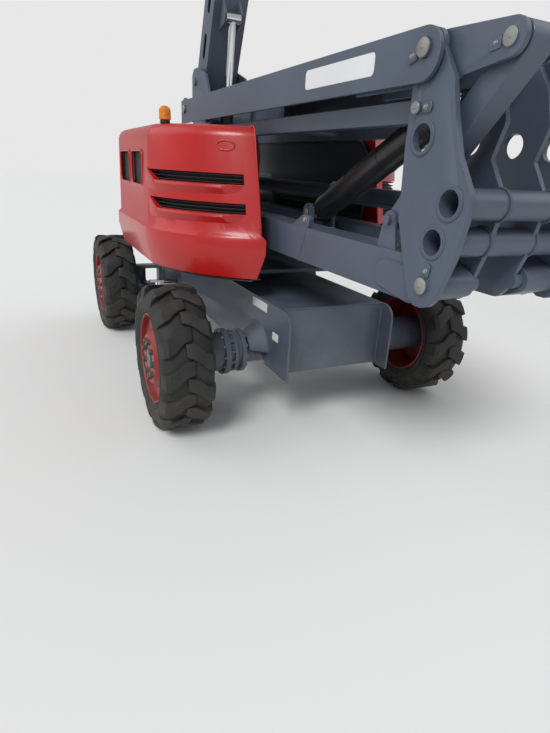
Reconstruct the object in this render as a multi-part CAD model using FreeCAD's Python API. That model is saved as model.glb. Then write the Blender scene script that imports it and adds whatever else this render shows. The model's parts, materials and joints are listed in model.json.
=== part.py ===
"""Articulating boom lift with a folding riser, on four wheels, with its main boom raised.

Millimetres. X points the way the boom points, Z up, and the turret turns about the Z axis.
Y is positive on the left. The ground is Z = 0.
"""
import FreeCAD, Part
import math
import os

V = FreeCAD.Vector

# Fits
FIT = 0.5             # gap between pieces that rest on each other
PIN_FIT = 0.5         # radial clearance of a bore on its pin
GAP = 8.0             # gap between pieces that move past each other

# Wheels
WHEELBASE = 2490.0
OVERALL_W = 2490.0
TYRE_R = 505.0
TYRE_W = 355.0
LUG_H = 26.0
LUG_COUNT = 14        # on each shoulder
LUG_TOP = 11.0        # degrees round the wheel that a lug's top takes
LUG_SKEW = 7.5        # degrees that a lug turns from the tread's middle to its edge
CARCASS_R = TYRE_R - LUG_H
RIM_R = 312.0
BEAD_R = RIM_R / math.cos(math.pi / (4 * LUG_COUNT))
# Distance from the tyre's middle plane, radius on a lug, radius between lugs
TREAD = ((0.0, CARCASS_R, CARCASS_R), (14.0, TYRE_R, CARCASS_R),
         (TYRE_W / 2 - 26, TYRE_R - 6, CARCASS_R - 14), (TYRE_W / 2, CARCASS_R - 60, CARCASS_R - 60))
# Distance from the tyre's middle plane, radius
SIDEWALL = ((TYRE_W / 2 - 6, RIM_R + 45), (TYRE_W / 2 - 40, BEAD_R))
RIM_EDGE = 30.0       # rim's edge, inside the tyre's side
RIM_T = 14.0
DISC_T = 16.0
DISC_INSET = 60.0     # wheel disc, inboard of the tyre's outer face
DISH_H = 46.0
NUT_COUNT = 9
NUT_CIRCLE_R = 128.0
NUT_R = 15.0
NUT_OUT = 62.0        # nut's outer end, from the disc
AXLE_Z = TYRE_R
AXLE_X = WHEELBASE / 2
WHEEL_Y = (OVERALL_W - TYRE_W) / 2

# Axles
TUBE_R = 100.0
DIFF_R = 175.0
FLANGE_R = 160.0
FLANGE_Y = 560.0
HUB_R = 140.0
HUB_NOSE_R = 95.0
HUB_START = 720.0
HUB_NOSE_OUT = 40.0           # hub's nose, past the wheel disc
DIFF_HALF = 120.0
PINION_R = 70.0
PINION_L = 90.0
RIB_COUNT = 12
RIB_T = 18.0
# Start and end from the flange's outer face, then radius
FLANGES = ((0.0, 30.0, FLANGE_R), (62.0, 84.0, FLANGE_R - 8), (120.0, 160.0, FLANGE_R + 8))
KING_Y = 790.0
KING_R = 34.0
KING_H = 290.0
YOKE_T = 34.0
YOKE_IN = 220.0               # from the kingpin inward to the yoke's upright plate
STEER_ARM = 200.0
STEER_CYL_R = 42.0
STEER_CYL_HALF = 250.0
YOKE_HALF = 60.0
STEER_ROD_R = 20.0

# Chassis
CH_HALF = 419.0
CH_TOP = 899.0
CH_BOTTOM = 436.0
CH_PANEL_X = 1628.0
CH_FLANGE = 130.0
CH_T = 16.0
CH_CORNER = 100.0
CH_CROSS_X = 560.0            # cross members, either side of the ring
CH_BAY = 260.0                # open floor, either way from an axle
HORN_R0 = 215.0
HORN_R1 = 125.0
HORN_L = 110.0
HORN_LOW = 30.0               # the horn's lower edge, above the axle's centre
ARCH_R = 175.0                # open arch in the side plates below each axle
ARCH_DROP = 100.0             # its centre, below the plates' lower edge
TIE_X = CH_PANEL_X - 68.0     # tie-down holes in the floor plates' corners
TIE_Y = 330.0
TIE_R = 30.0
RING_R = 470.0
RING_BORE = 330.0
RING_H = 46.0

# Turret
TURRET_Z = CH_TOP + RING_H + 55.0
BASE_T = 30.0
DECK_Z = TURRET_Z + BASE_T
TAIL_R = 1240.0
WEIGHT_TOP = 1490.0
WEIGHT_X = -905.0             # the weight's front face
FLOOR_X = (-1000.0, 940.0)
ENGINE = (-520.0, 620.0, 520.0, 950.0, 620.0)      # x from, x to, y from, y to, height
TANK = (-620.0, 560.0, 520.0, 930.0, 560.0)
TRAY_T = 12.0
TRAY_Z = DECK_Z + FIT

# Riser: side view places of the pins, then the lengths
P4 = (2911.0, 1347.0)         # front pin of the lower riser
P1 = (2746.0, 2243.0)         # front pin of the upper riser
P2 = (2720.0, 2038.0)         # front pin of the upper link
P3 = (2760.0, 1628.0)         # front pin of the lower link
RISER_L = 3313.0
UPPER_L = RISER_L + 53.0
PIN_R = 35.0
LINK_PIN_R = 24.0
TAIL_PIN = (P1[0] + 354.0, P1[1] - 11.0)
TIMING_PIN = (P4[0] - 360.0, P4[1] + 235.0)
TIMING_R = 42.0
R0 = (P4[0] - RISER_L, P4[1])
L0 = (P3[0] - RISER_L, P3[1])
U1 = (P1[0] - UPPER_L, P1[1])
U2 = (P2[0] - UPPER_L, P2[1])

# Riser: bays across the machine, from the centre outward
INNER_PLATE = (115.0, 140.0)
ARM = (165.0, 360.0)
INNER_CHEEK = (180.0, 200.0)
LINK_BAY = (215.0, 330.0)
UPPER_LINK = (250.0, 330.0)
TAIL_CHEEK = (345.0, 365.0)
OUTER_PLATE = (378.0, 403.0)
SIDE_WALL = (411.0, 430.0)

ARM_H = 207.0
ARM_T = 10.0
WALL_H = 196.0
WALL_TOP = P1[1] + 78.0
TOP_T = 12.0
REAR_CHEEK_DROP = 70.0        # above the path of the upper link's rear pin
LINK_H = 84.0
T1 = (P3[0] + 12.0, P3[1] + 299.0)
T2 = (P3[0] + 227.0, P3[1] + 59.0)
T3 = (P4[0] + 17.0, P4[1] + 183.0)
UPRIGHT_NOSE = (
    # forward and up from the middle cross tube
    (-89.0, 450.0),
    (-47.0, 313.0),
    (8.0, 175.0),
    (58.0, 102.0),
    (94.0, 50.0),
    (106.0, 8.0),
    (101.0, -60.0),
    (73.0, -207.0),
)
UPRIGHT_FOOT = (
    # forward and up from the lower riser's pin
    (102.0, 7.0),
    (82.0, -45.0),
    (49.0, -79.0),
    (5.0, -95.0),
    (-40.0, -95.0),
    (-76.0, -76.0),
    (-100.0, -47.0),
)
CROSS_R = 62.0
CROSS_T = 9.0
ARM_CROSS_X = (420.0, 1300.0, 2250.0)
PATCH_OUT = 8.0               # lens-shaped plate on the arm's side
EAR_T = 14.0
UPPER_LINK_R = 46.0
LOWER_LINK_R = 58.0
BOSS_R_REAR = 96.0
CHEEK_R = 74.0
TAIL_EYE_R = 62.0
ARM_NOSE_R = 58.0
ARM_NOSE_L = 130.0

# Riser cylinder
RC_BASE = (1300.0, 1500.0)
RC_BARREL_R = 84.0
RC_ROD_R = 45.0
RC_BARREL_L = 1330.0
RC_EYE_HALF = INNER_PLATE[0] - FIT
RC_LUG = (74.5, 99.5)
RC_PIN_R = 28.0

# Upper upright and main boom
UP_PLATE = (188.0, 212.0)
B0 = (-980.0, 2530.0)
C0 = (-750.0, 1450.0)
BOOM_PIN_R = 38.0
BOOM_UP = 67.0                # degrees above level, as it stands
BOOM_W = 320.0
BOOM_H = 270.0
BOOM_T = 10.0
BOOM_L = 5150.0
BOOM_TAIL = 150.0
BC_EYE = (620.0, -220.0)      # along and square to the boom
BC_BARREL_R = 62.0
BC_ROD_R = 34.0
BC_BARREL_L = 880.0
BC_STROKE_ROD = 944.0         # rod from its inner end to its eye
BOOM_HOLES = (240.0, 620.0)   # slotted holes, along the boom
BOOM_HOLE_L = 150.0
BOOM_HOLE_R = 36.0
PAD_L = 100.0
LUG_T = 18.0

# Fly boom, level knuckle and jib
FLY_W = 262.0
FLY_H = 212.0
FLY_T = 9.0
FLY_START = 700.0
FLY_PIN = 5620.0
FLY_NOSE = 175.0              # from the tube's end to the pin
KNUCKLE_HALF = 70.0
TIP_PIN_R = 26.0
JIB_L = 1500.0
JIB_BAR = (52.0, 92.0)        # the arm's two tubes, across the machine
JIB_H = 110.0
JIB_T = 8.0
JIB_PIN_R = 24.0
JIB_RISE = 170.0              # the level link lies above the arm
JIB_LINK = (100.0, 116.0)
JIB_LINK_PIN_R = 18.0
JIB_LINK_R = 30.0
JIB_PLATE = (124.0, 142.0)
JC_BASE = (-20.0, -217.0)     # from the arm's pin to the ram's foot
JC_EYE = (690.0, -120.0)
JC_BARREL_R = 38.0
JC_BARREL_L = 480.0
JC_ROD_R = 22.0
JC_ROD_IN = 252.0
JC_HALF = 46.0
JIB_CROSS_X = (1020.0, 1250.0)

# Platform
PLAT_X = 914.0
PLAT_Y = 2440.0
RAIL_H = 1100.0
RAIL_R = 19.0
PLAT_DROP = 320.0             # floor's underside, below the jib's end pin
POST_X = 190.0                # from the jib's end pin to the turning post
POST_R = 34.0
PLAT_NEAR = 195.0             # from the post to the platform's near side
POST_LOW = 175.0              # post's top, below the jib's end pin
DECK_T = 30.0
MID_RAIL = 572.0
TOE_H = 140.0
RAIL_IN = 25.0                # rail centres, inside the floor's edge
GATE_IN = 62.0                # from a corner post to the gate's own post
GATE_STRAPS = (250.0, 850.0)
GATE_LOW = 60.0
TOE_T = 8.0
CONSOLE_HALF = 330.0
# Along the platform from the rail, height over the mid rail
CONSOLE = ((0.0, 40.0), (230.0, 40.0), (250.0, 250.0), (0.0, 330.0))

# Hoods
HOOD_IN = 452.0
HOOD_OUT = 1090.0
HOOD_Z = TRAY_Z + TRAY_T + 8.0
HOOD_TOP = 2050.0
HOOD_STEP = 1320.0
HOOD_T = 12.0
HOOD_FRONT = 1405.0
HOOD_LEAN = 190.0             # the front stands this far back at the roof
HOOD_CORNER = (600.0, 1090.0)
HOOD_MID = (1105.0, 872.0)    # on the front's curve in plan
HOOD_ROUND = 90.0
HOOD_TUCK = 40.0              # the skirt draws in toward its lower edge
HOOD_TUCK_H = 170.0
HOOD_LEDGE = 52.0             # the ledge runs inward this far, into the upper part
HOOD_LEDGE_H = 60.0
HOOD_INSET = 22.0             # the upper part stands back from the skirt
LOUVRES = ((1660.0, 560.0), (1475.0, 640.0))       # each slot's lower edge and outer end
LOUVRE_H = 66.0
WINDOWS = ((-500.0, -60.0), (10.0, 430.0))
WINDOW_Z = (1600.0, 1850.0)
HINGE_Y = HOOD_IN - 8.0
HINGE_Z = HOOD_TOP - HOOD_INSET - 4.0
HINGE_R = 8.0
HINGE_X = (-600.0, 500.0)
WALL = (HOOD_IN - 18, HOOD_IN - 6)
WALL_X = (-1010.0, HOOD_FRONT - HOOD_LEAN - 30)
WALL_CORNER = 170.0
BEACON_XY = (640.0, -930.0)
BEACON_R = 42.0
BEACON_H = 58.0
BEACON_FOOT = 24.0


# Basic shapes
def box(x0, x1, y0, y1, z0, z1):
    return Part.makeBox(x1 - x0, y1 - y0, z1 - z0, V(x0, y0, z0))


def rod_y(p, r, y0, y1):
    return Part.makeCylinder(r, y1 - y0, V(p[0], y0, p[1]), V(0, 1, 0))


def rod_x(y, z, r, x0, x1):
    return Part.makeCylinder(r, x1 - x0, V(x0, y, z), V(1, 0, 0))


def rod_z(x, y, r, z0, z1):
    return Part.makeCylinder(r, z1 - z0, V(x, y, z0), V(0, 0, 1))


def rod_between(a, b, r):
    return Part.makeCylinder(r, (b - a).Length, a, b - a)


def prism_y(points, y0, y1):
    """A side outline of (x, z) corners, from y0 to y1."""
    wire = Part.makePolygon([V(x, y0, z) for x, z in points + points[:1]])
    return Part.Face(wire).extrude(V(0, y1 - y0, 0))


def prism_z(points, z0, z1):
    wire = Part.makePolygon([V(x, y, z0) for x, y in points + points[:1]])
    return Part.Face(wire).extrude(V(0, 0, z1 - z0))


def strap(a, b, ra, rb, y0, y1):
    """A flat plate with round ends of two radii, about two pins in side view."""
    dx, dz = b[0] - a[0], b[1] - a[1]
    length = math.hypot(dx, dz)
    base = math.atan2(dz, dx)
    lean = math.acos((ra - rb) / length)
    corners = []
    for centre, radius, sign in ((a, ra, 1), (b, rb, 1), (b, rb, -1), (a, ra, -1)):
        angle = base + sign * lean
        corners.append((centre[0] + radius * math.cos(angle), centre[1] + radius * math.sin(angle)))
    body = prism_y(corners, y0, y1)
    return body.fuse([rod_y(a, ra, y0, y1), rod_y(b, rb, y0, y1)])


def fuse(shapes):
    shapes = list(shapes)
    return shapes[0].fuse(shapes[1:]).removeSplitter()


def both(span):
    """The same span on the right and on the left of the centre plane."""
    low, high = span
    return ((-high, -low), (low, high))


def mirror_y(shape):
    return shape.mirror(V(0, 0, 0), V(0, 1, 0))


def turned(shape, centre, degrees):
    """Raises the end of a piece that points along X, about a pin in side view."""
    out = shape.copy()
    out.rotate(V(centre[0], 0, centre[1]), V(0, 1, 0), -degrees)
    return out


def polar(centre, length, degrees):
    angle = math.radians(degrees)
    return (centre[0] + length * math.cos(angle), centre[1] + length * math.sin(angle))


# Wheels
def tread_angles():
    """Angles round the wheel at which lugs start and end; each pitch gives two pairs."""
    pitch = 360.0 / LUG_COUNT
    marks = (0.0, LUG_TOP, pitch / 2, pitch / 2 + LUG_TOP)
    return [i * pitch + mark for i in range(LUG_COUNT) for mark in marks]


def tyre(side, x):
    """Foam-filled tyre in flat facets, with staggered oblique lugs on both shoulders."""
    half = TYRE_W / 2
    angles = tread_angles()
    count = len(angles)

    def point(angle, y, r):
        turn = math.radians(angle - 90)
        return V(x + r * math.cos(turn), side * WHEEL_Y + y, AXLE_Z + r * math.sin(turn))

    def tread_row(y, r_lug, r_root):
        skew = LUG_SKEW * (1 - abs(y) / half)
        raised = (0, 1) if y > 0 else (2, 3)
        radii = [r_lug if k % 4 in raised else r_root for k in range(count)]
        return [point(a + skew, y, r) for a, r in zip(angles, radii)]

    def plain_row(y, r):
        return [point(360.0 * k / count, y, r) for k in range(count)]

    rows = [plain_row(-y, r) for y, r in reversed(SIDEWALL)]
    rows += [tread_row(-y, lug, root) for y, lug, root in reversed(TREAD)]
    rows += [tread_row(y, lug, root) for y, lug, root in TREAD[1:]]
    rows += [plain_row(y, r) for y, r in SIDEWALL]
    facets = []
    for low, high in zip(rows, rows[1:] + rows[:1]):
        for k in range(count):
            n = (k + 1) % count
            facets += [(low[k], low[n], high[n]), (low[k], high[n], high[k])]
    shell = Part.makeShell([Part.Face(Part.makePolygon([a, b, c, a])) for a, b, c in facets])
    shell.sewShape()
    body = Part.makeSolid(shell)
    return body if body.Volume > 0 else body.reversed()


def rim(side, x):
    """Pressed steel rim with its dished disc, hub ring and nut circle."""
    half = TYRE_W / 2 - RIM_EDGE
    outer = RIM_R - FIT
    barrel = rod_y((0, 0), outer, -half, half).cut(rod_y((0, 0), outer - RIM_T, -half, half))
    disc_y = TYRE_W / 2 - DISC_INSET
    disc = rod_y((0, 0), outer - RIM_T + 2, disc_y - DISC_T, disc_y)
    dish = Part.makeCone(HUB_R + 70, HUB_R + 30, DISH_H, V(0, disc_y, 0), V(0, 1, 0))
    disc = disc.fuse(dish)
    disc = disc.cut(rod_y((0, 0), HUB_NOSE_R + PIN_FIT, disc_y - DISC_T, disc_y + 60))
    nuts = []
    for i in range(NUT_COUNT):
        spot = polar((0, 0), NUT_CIRCLE_R, 360.0 * i / NUT_COUNT)
        nuts.append(rod_y(spot, NUT_R, disc_y + DISH_H - 6, disc_y + NUT_OUT))
    body = fuse([barrel, disc] + nuts)
    if side < 0:
        body = mirror_y(body)
    body.translate(V(x, side * WHEEL_Y, AXLE_Z))
    return body


def hub(side, x):
    """The hub drum behind the wheel disc and the nose that centres it."""
    disc_y = WHEEL_Y + TYRE_W / 2 - DISC_INSET
    seat = disc_y - DISC_T - FIT
    drum = rod_y((x, AXLE_Z), HUB_R, HUB_START, seat)
    end = disc_y + HUB_NOSE_OUT
    nose = rod_y((x, AXLE_Z), HUB_NOSE_R, seat, end)
    cap = rod_y((x, AXLE_Z), HUB_NOSE_R - 30, end, end + 10)
    body = fuse([drum, nose, cap])
    return body if side > 0 else mirror_y(body)


def flange_stack(x):
    """Ribbed flanges between the axle tube and the hub."""
    pieces = [rod_y((x, AXLE_Z), FLANGE_R - 30, FLANGE_Y, HUB_START)]
    for start, end, r in FLANGES:
        pieces.append(rod_y((x, AXLE_Z), r, FLANGE_Y + start, FLANGE_Y + end))
    rib_start, rib_end = FLANGE_Y + FLANGES[1][1], FLANGE_Y + FLANGES[2][0]
    for i in range(RIB_COUNT):
        rib = box(FLANGE_R - 40, FLANGE_R - 6, rib_start, rib_end, -RIB_T / 2, RIB_T / 2)
        rib.rotate(V(0, 0, 0), V(0, 1, 0), (i + 0.5) * 360.0 / RIB_COUNT)
        rib.translate(V(x, 0, AXLE_Z))
        pieces.append(rib)
    return pieces


def axle_fixed():
    x = AXLE_X
    right = fuse(flange_stack(x) + [hub(1, x)])
    tube = rod_y((x, AXLE_Z), TUBE_R, -FLANGE_Y, FLANGE_Y)
    diff = Part.makeSphere(DIFF_R, V(x, 0, AXLE_Z))
    diff = diff.common(rod_y((x, AXLE_Z), DIFF_R, -DIFF_HALF, DIFF_HALF))
    nose = rod_x(0, AXLE_Z, PINION_R, x - DIFF_R - PINION_L, x)
    return fuse([tube, diff, nose, right, mirror_y(right)])


def axle_steer():
    """Dead beam with a yoke at each end for the kingpins, and the steering barrel."""
    x = -AXLE_X
    beam = rod_y((x, AXLE_Z), TUBE_R, -KING_Y + YOKE_IN, KING_Y - YOKE_IN)
    barrel_x = x + STEER_ARM
    pieces = [beam, rod_y((barrel_x, AXLE_Z), STEER_CYL_R, -STEER_CYL_HALF, STEER_CYL_HALF),
              box(x, barrel_x, -60, 60, AXLE_Z - 30, AXLE_Z + 30)]
    x0, x1 = x - YOKE_HALF, x + YOKE_HALF
    for y0, y1 in both((KING_Y - YOKE_IN - 20, KING_Y - YOKE_IN + 20)):
        pieces.append(box(x0, x1, y0, y1, AXLE_Z - KING_H / 2 - YOKE_T, AXLE_Z + KING_H / 2 + YOKE_T))
    for side in (-1, 1):
        for z0 in (AXLE_Z - KING_H / 2 - YOKE_T, AXLE_Z + KING_H / 2):
            low, high = sorted((side * (KING_Y - YOKE_IN), side * KING_Y))
            arm = box(x0, x1, low, high, z0, z0 + YOKE_T)
            arm = arm.fuse(rod_z(x, side * KING_Y, YOKE_HALF, z0, z0 + YOKE_T))
            pieces.append(arm)
    body = fuse(pieces)
    reach = STEER_CYL_HALF + 10
    bore = rod_y((barrel_x, AXLE_Z), STEER_ROD_R + PIN_FIT, -reach, reach)
    for side in (-1, 1):
        bore = bore.fuse(rod_z(x, side * KING_Y, KING_R + PIN_FIT, 0, 2 * AXLE_Z))
    return body.cut(bore)


def knuckle(side):
    """Steering knuckle: kingpin, spindle housing, hub and steering arm."""
    x = -AXLE_X
    pin = rod_z(x, KING_Y, KING_R, AXLE_Z - KING_H / 2 - YOKE_T, AXLE_Z + KING_H / 2 + YOKE_T)
    post = rod_z(x, KING_Y, 62, AXLE_Z - KING_H / 2 + FIT, AXLE_Z + KING_H / 2 - FIT)
    disc_y = WHEEL_Y + TYRE_W / 2 - DISC_INSET
    seat = disc_y - DISC_T - FIT
    drum = rod_y((x, AXLE_Z), HUB_R, KING_Y + 68, seat)
    neck = rod_y((x, AXLE_Z), 90, KING_Y, KING_Y + 80)
    nose = rod_y((x, AXLE_Z), HUB_NOSE_R, seat, disc_y + HUB_NOSE_OUT)
    end = x + STEER_ARM + 30
    arm = prism_z([(x, KING_Y + 20), (x, KING_Y - 55), (x + 90, KING_Y - 60), (x + 130, KING_Y - 120),
                   (end, KING_Y - 120), (end, KING_Y - 40), (x + 130, KING_Y + 10)], AXLE_Z - 14, AXLE_Z + 14)
    body = fuse([pin, post, drum, neck, nose, arm])
    return body if side > 0 else mirror_y(body)


def steer_rod():
    x = -AXLE_X + STEER_ARM
    rod = rod_y((x, AXLE_Z), STEER_ROD_R, -KING_Y + 210, KING_Y - 210)
    pieces = [rod]
    for side in (-1, 1):
        low, high = sorted((side * (KING_Y - 215), side * (KING_Y - 165)))
        pieces.append(box(x - 30, x + 30, low, high, AXLE_Z - 42, AXLE_Z + 42))
        low, high = sorted((side * (KING_Y - 165), side * (KING_Y - 60)))
        for z0 in (AXLE_Z - 42, AXLE_Z + 22):
            pieces.append(box(x - 30, x + 30, low, high, z0, z0 + 20))
    return fuse(pieces)


# Chassis
def side_outline():
    """Side of the chassis: rounded top corners at both ends."""
    end = CH_PANEL_X + CH_FLANGE
    plate = box(-end, end, 0, CH_T, CH_BOTTOM - 12, CH_TOP)
    for sign in (-1, 1):
        cx = sign * (end - CH_CORNER)
        corner = box(min(cx, sign * end), max(cx, sign * end), 0, CH_T, CH_TOP - CH_CORNER, CH_TOP)
        corner = corner.cut(rod_y((cx, CH_TOP - CH_CORNER), CH_CORNER, 0, CH_T))
        plate = plate.cut(corner)
    return plate


def chassis_frame():
    outer = CH_HALF
    pieces = []
    for side in (-1, 1):
        plate = side_outline()
        plate.translate(V(0, outer - CH_T if side > 0 else -outer, 0))
        pieces.append(plate)
        for x in (-AXLE_X, AXLE_X):
            horn = Part.makeCone(HORN_R0, HORN_R1, HORN_L, V(x, side * outer, AXLE_Z), V(0, side, 0))
            below = box(x - HORN_R0, x + HORN_R0, -CH_PANEL_X, CH_PANEL_X, 0, AXLE_Z + HORN_LOW)
            pieces.append(horn.cut(below))
    inner = outer - CH_T
    for sign in (-1, 1):
        low, high = sorted((sign * (CH_PANEL_X - CH_T), sign * CH_PANEL_X))
        pieces.append(box(low, high, -inner, inner, CH_BOTTOM, CH_TOP))
        low, high = sorted((sign * CH_CROSS_X, sign * (CH_CROSS_X + CH_T)))
        pieces.append(box(low, high, -inner, inner, CH_BOTTOM + 60, CH_TOP))
    pieces.append(box(-CH_PANEL_X, CH_PANEL_X, -inner, inner, CH_TOP - CH_T, CH_TOP))
    for x0, x1 in ((-CH_PANEL_X, -AXLE_X - CH_BAY), (AXLE_X + CH_BAY, CH_PANEL_X), (-CH_CROSS_X, CH_CROSS_X)):
        pieces.append(box(x0, x1, -inner, inner, CH_BOTTOM, CH_BOTTOM + CH_T))
    pieces.append(rod_z(0, 0, RING_R + 20, CH_TOP - CH_T, CH_TOP + 12))
    pieces.append(rod_z(0, 0, RING_R, CH_TOP, CH_TOP + RING_H))
    body = fuse(pieces)
    body = body.cut(rod_z(0, 0, RING_BORE, CH_TOP - 2 * CH_T, CH_TOP + RING_H + 1))
    for x in (-AXLE_X, AXLE_X):
        body = body.cut(rod_y((x, AXLE_Z), TUBE_R + FIT, -FLANGE_Y, FLANGE_Y))
        body = body.cut(rod_y((x, CH_BOTTOM - ARCH_DROP), ARCH_R, -FLANGE_Y, FLANGE_Y))
    for x in (-TIE_X, TIE_X):
        for y in (-TIE_Y, TIE_Y):
            body = body.cut(rod_z(x, y, TIE_R, CH_BOTTOM - 1, CH_BOTTOM + CH_T + 1))
    return body.cut(rod_y((STEER_ARM - AXLE_X, AXLE_Z), STEER_ROD_R + GAP, -FLANGE_Y, FLANGE_Y))


# Turret
def turret_frame():
    """Slewing ring, floor plate, riser cheeks and tail."""
    ring = rod_z(0, 0, RING_R - 14, CH_TOP + RING_H + FIT, TURRET_Z)
    ring = ring.cut(rod_z(0, 0, RING_BORE, CH_TOP, TURRET_Z + 1))
    floor = box(FLOOR_X[0], FLOOR_X[1], -HOOD_IN + 4, HOOD_IN - 4, TURRET_Z, DECK_Z)
    floor = floor.common(rod_z(0, 0, TAIL_R, TURRET_Z, DECK_Z))
    outline = [(R0[0] - 440, DECK_Z), (R0[0] + 420, DECK_Z), (R0[0] + 420, DECK_Z + 120),
               (R0[0] + 150, R0[1] + 60), (L0[0] + 140, L0[1] + 90), (L0[0] - 110, L0[1] + 90),
               (L0[0] - 300, DECK_Z + 220)]
    inner_outline = [(R0[0] - 120, DECK_Z), (R0[0] + 260, DECK_Z), (R0[0] + 90, R0[1] + 60),
                     (R0[0] - 90, R0[1] + 70)]
    pieces = [ring, floor]
    for y0, y1 in both((OUTER_PLATE[0], OUTER_PLATE[1])):
        pieces.append(prism_y(outline, y0, y1))
    for y0, y1 in both(INNER_PLATE):
        pieces.append(prism_y(inner_outline, y0, y1))
    tall = [(L0[0] - 75, DECK_Z), (R0[0] + 90, DECK_Z), (R0[0] + 90, R0[1] + 60),
            (L0[0] + 70, L0[1] + 60), (L0[0] - 70, L0[1] + 60)]
    pieces.append(prism_y(tall, INNER_PLATE[0], INNER_PLATE[1]))
    for y0, y1 in both((INNER_PLATE[0], OUTER_PLATE[1] + 20)):
        pieces.append(rod_y(R0, PIN_R, y0, y1))
    pieces.append(rod_y(L0, LINK_PIN_R, INNER_PLATE[0], OUTER_PLATE[1] + 16))
    return fuse(pieces)


def counterweight():
    """Cast weight in the tail, round behind and open in the middle above."""
    z0, z1 = DECK_Z + FIT, WEIGHT_TOP
    body = rod_z(0, 0, TAIL_R, z0 - 90, z1)
    side = HOOD_IN - 18 - FIT
    body = body.common(box(-TAIL_R, WEIGHT_X, -side, side, z0 - 90, z1))
    notch = box(FLOOR_X[0] - FIT, 0, -HOOD_IN, HOOD_IN, z0 - 100, z0)
    return body.cut(notch)


def hood_plan(inset, z, lean=0.0):
    """Hood in plan: long side, big curved front, rear end round the tail."""
    y_in, y_out = HOOD_IN + inset, HOOD_OUT - inset - 0.1 * lean
    front = HOOD_FRONT - inset - lean
    mid = (HOOD_MID[0] - 0.75 * inset - 0.62 * lean,
           HOOD_MID[1] - 0.65 * inset - 0.18 * lean)
    tail = TAIL_R - inset
    rear_in = (-math.sqrt(tail ** 2 - y_in ** 2), y_in)
    rear_out = (-math.sqrt(tail ** 2 - y_out ** 2), y_out)
    half = 0.5 * (math.atan2(rear_in[1], rear_in[0]) + math.atan2(rear_out[1], rear_out[0]))
    rear_mid = (tail * math.cos(half), tail * math.sin(half))
    places = ((front, y_in), mid, (HOOD_CORNER[0], y_out), rear_out, rear_mid, rear_in)
    a, b, c, d, e, f = [V(x, y, z) for x, y in places]
    return Part.Wire([Part.Arc(a, b, c).toShape(), Part.LineSegment(c, d).toShape(),
                      Part.Arc(d, e, f).toShape(), Part.LineSegment(f, a).toShape()])


def hood_prism(inset, z0, z1):
    return Part.Face(hood_plan(inset, z0)).extrude(V(0, 0, z1 - z0))


def hood_upper(inset, z_low):
    """Upper body, drawn in toward the roof, with its roof and corners rounded together."""
    top = HOOD_TOP - inset
    body = Part.makeLoft([hood_plan(inset, z_low), hood_plan(inset, top, HOOD_LEAN)], True, True)
    rounded = []
    for edge in body.Edges:
        ends = [v.Point for v in edge.Vertexes]
        upright = abs(ends[0].z - ends[1].z) > HOOD_ROUND and min(p.y for p in ends) > HOOD_IN + HOOD_ROUND
        on_top = all(abs(p.z - top) < 1 for p in ends) and max(p.y for p in ends) > HOOD_IN + HOOD_ROUND
        if upright or on_top:
            rounded.append(edge)
    return body.makeFillet(HOOD_ROUND + HOOD_INSET - inset, rounded)


def hood_skirt(inset):
    """Lower band with a tucked-in lower edge and a sloping ledge that meets the upper body."""
    z1 = HOOD_Z + HOOD_TUCK_H
    low = Part.makeLoft([hood_plan(inset + HOOD_TUCK, HOOD_Z), hood_plan(inset, z1)], True, True)
    ledge_top = hood_plan(inset + HOOD_LEDGE, HOOD_STEP + HOOD_LEDGE_H)
    ledge = Part.makeLoft([hood_plan(inset, HOOD_STEP), ledge_top], True, True)
    return fuse([low, hood_prism(inset, z1, HOOD_STEP), ledge])


def hood(side):
    """Moulded engine cover: thin shell, open below and inside, louvres and windows cut."""
    body = hood_skirt(0).fuse(hood_upper(HOOD_INSET, HOOD_STEP))
    hollow = hood_skirt(HOOD_T).fuse(hood_upper(HOOD_INSET + HOOD_T, HOOD_STEP - HOOD_T))
    mouth = hood_prism(HOOD_T + HOOD_TUCK, HOOD_Z - 1, HOOD_Z + HOOD_T)
    inner_way = box(-1020, 1150, HOOD_IN - 10, HOOD_IN + 60, HOOD_Z - 100, HOOD_TOP - 80)
    body = body.cut([hollow, mouth, inner_way])
    for z0, x0 in LOUVRES:
        slot = prism_z([(x0, 560), (1600, 560), (1600, 960), (x0 + 220, 1060), (x0, 1060)], z0, z0 + LOUVRE_H)
        body = body.cut(slot)
    for x0, x1 in WINDOWS:
        window = box(x0, x1, HOOD_OUT - 90, HOOD_OUT + 20, WINDOW_Z[0], WINDOW_Z[1])
        window = window.makeFillet(45, [e for e in window.Edges if abs(e.Length - 110) < 1])
        body = body.cut(window)
    sleeves = []
    for x in HINGE_X:
        sleeve = rod_x(HINGE_Y, HINGE_Z, 2 * HINGE_R, x - 60, x + 60)
        tab = box(x - 60, x + 60, HINGE_Y, HOOD_IN + 60, HINGE_Z - 6, HINGE_Z + 4)
        bore = rod_x(HINGE_Y, HINGE_Z, HINGE_R + PIN_FIT, x - 70, x + 70)
        sleeves.append(sleeve.fuse(tab).cut(bore))
    body = fuse([body] + sleeves)
    return body if side > 0 else mirror_y(body)


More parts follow.
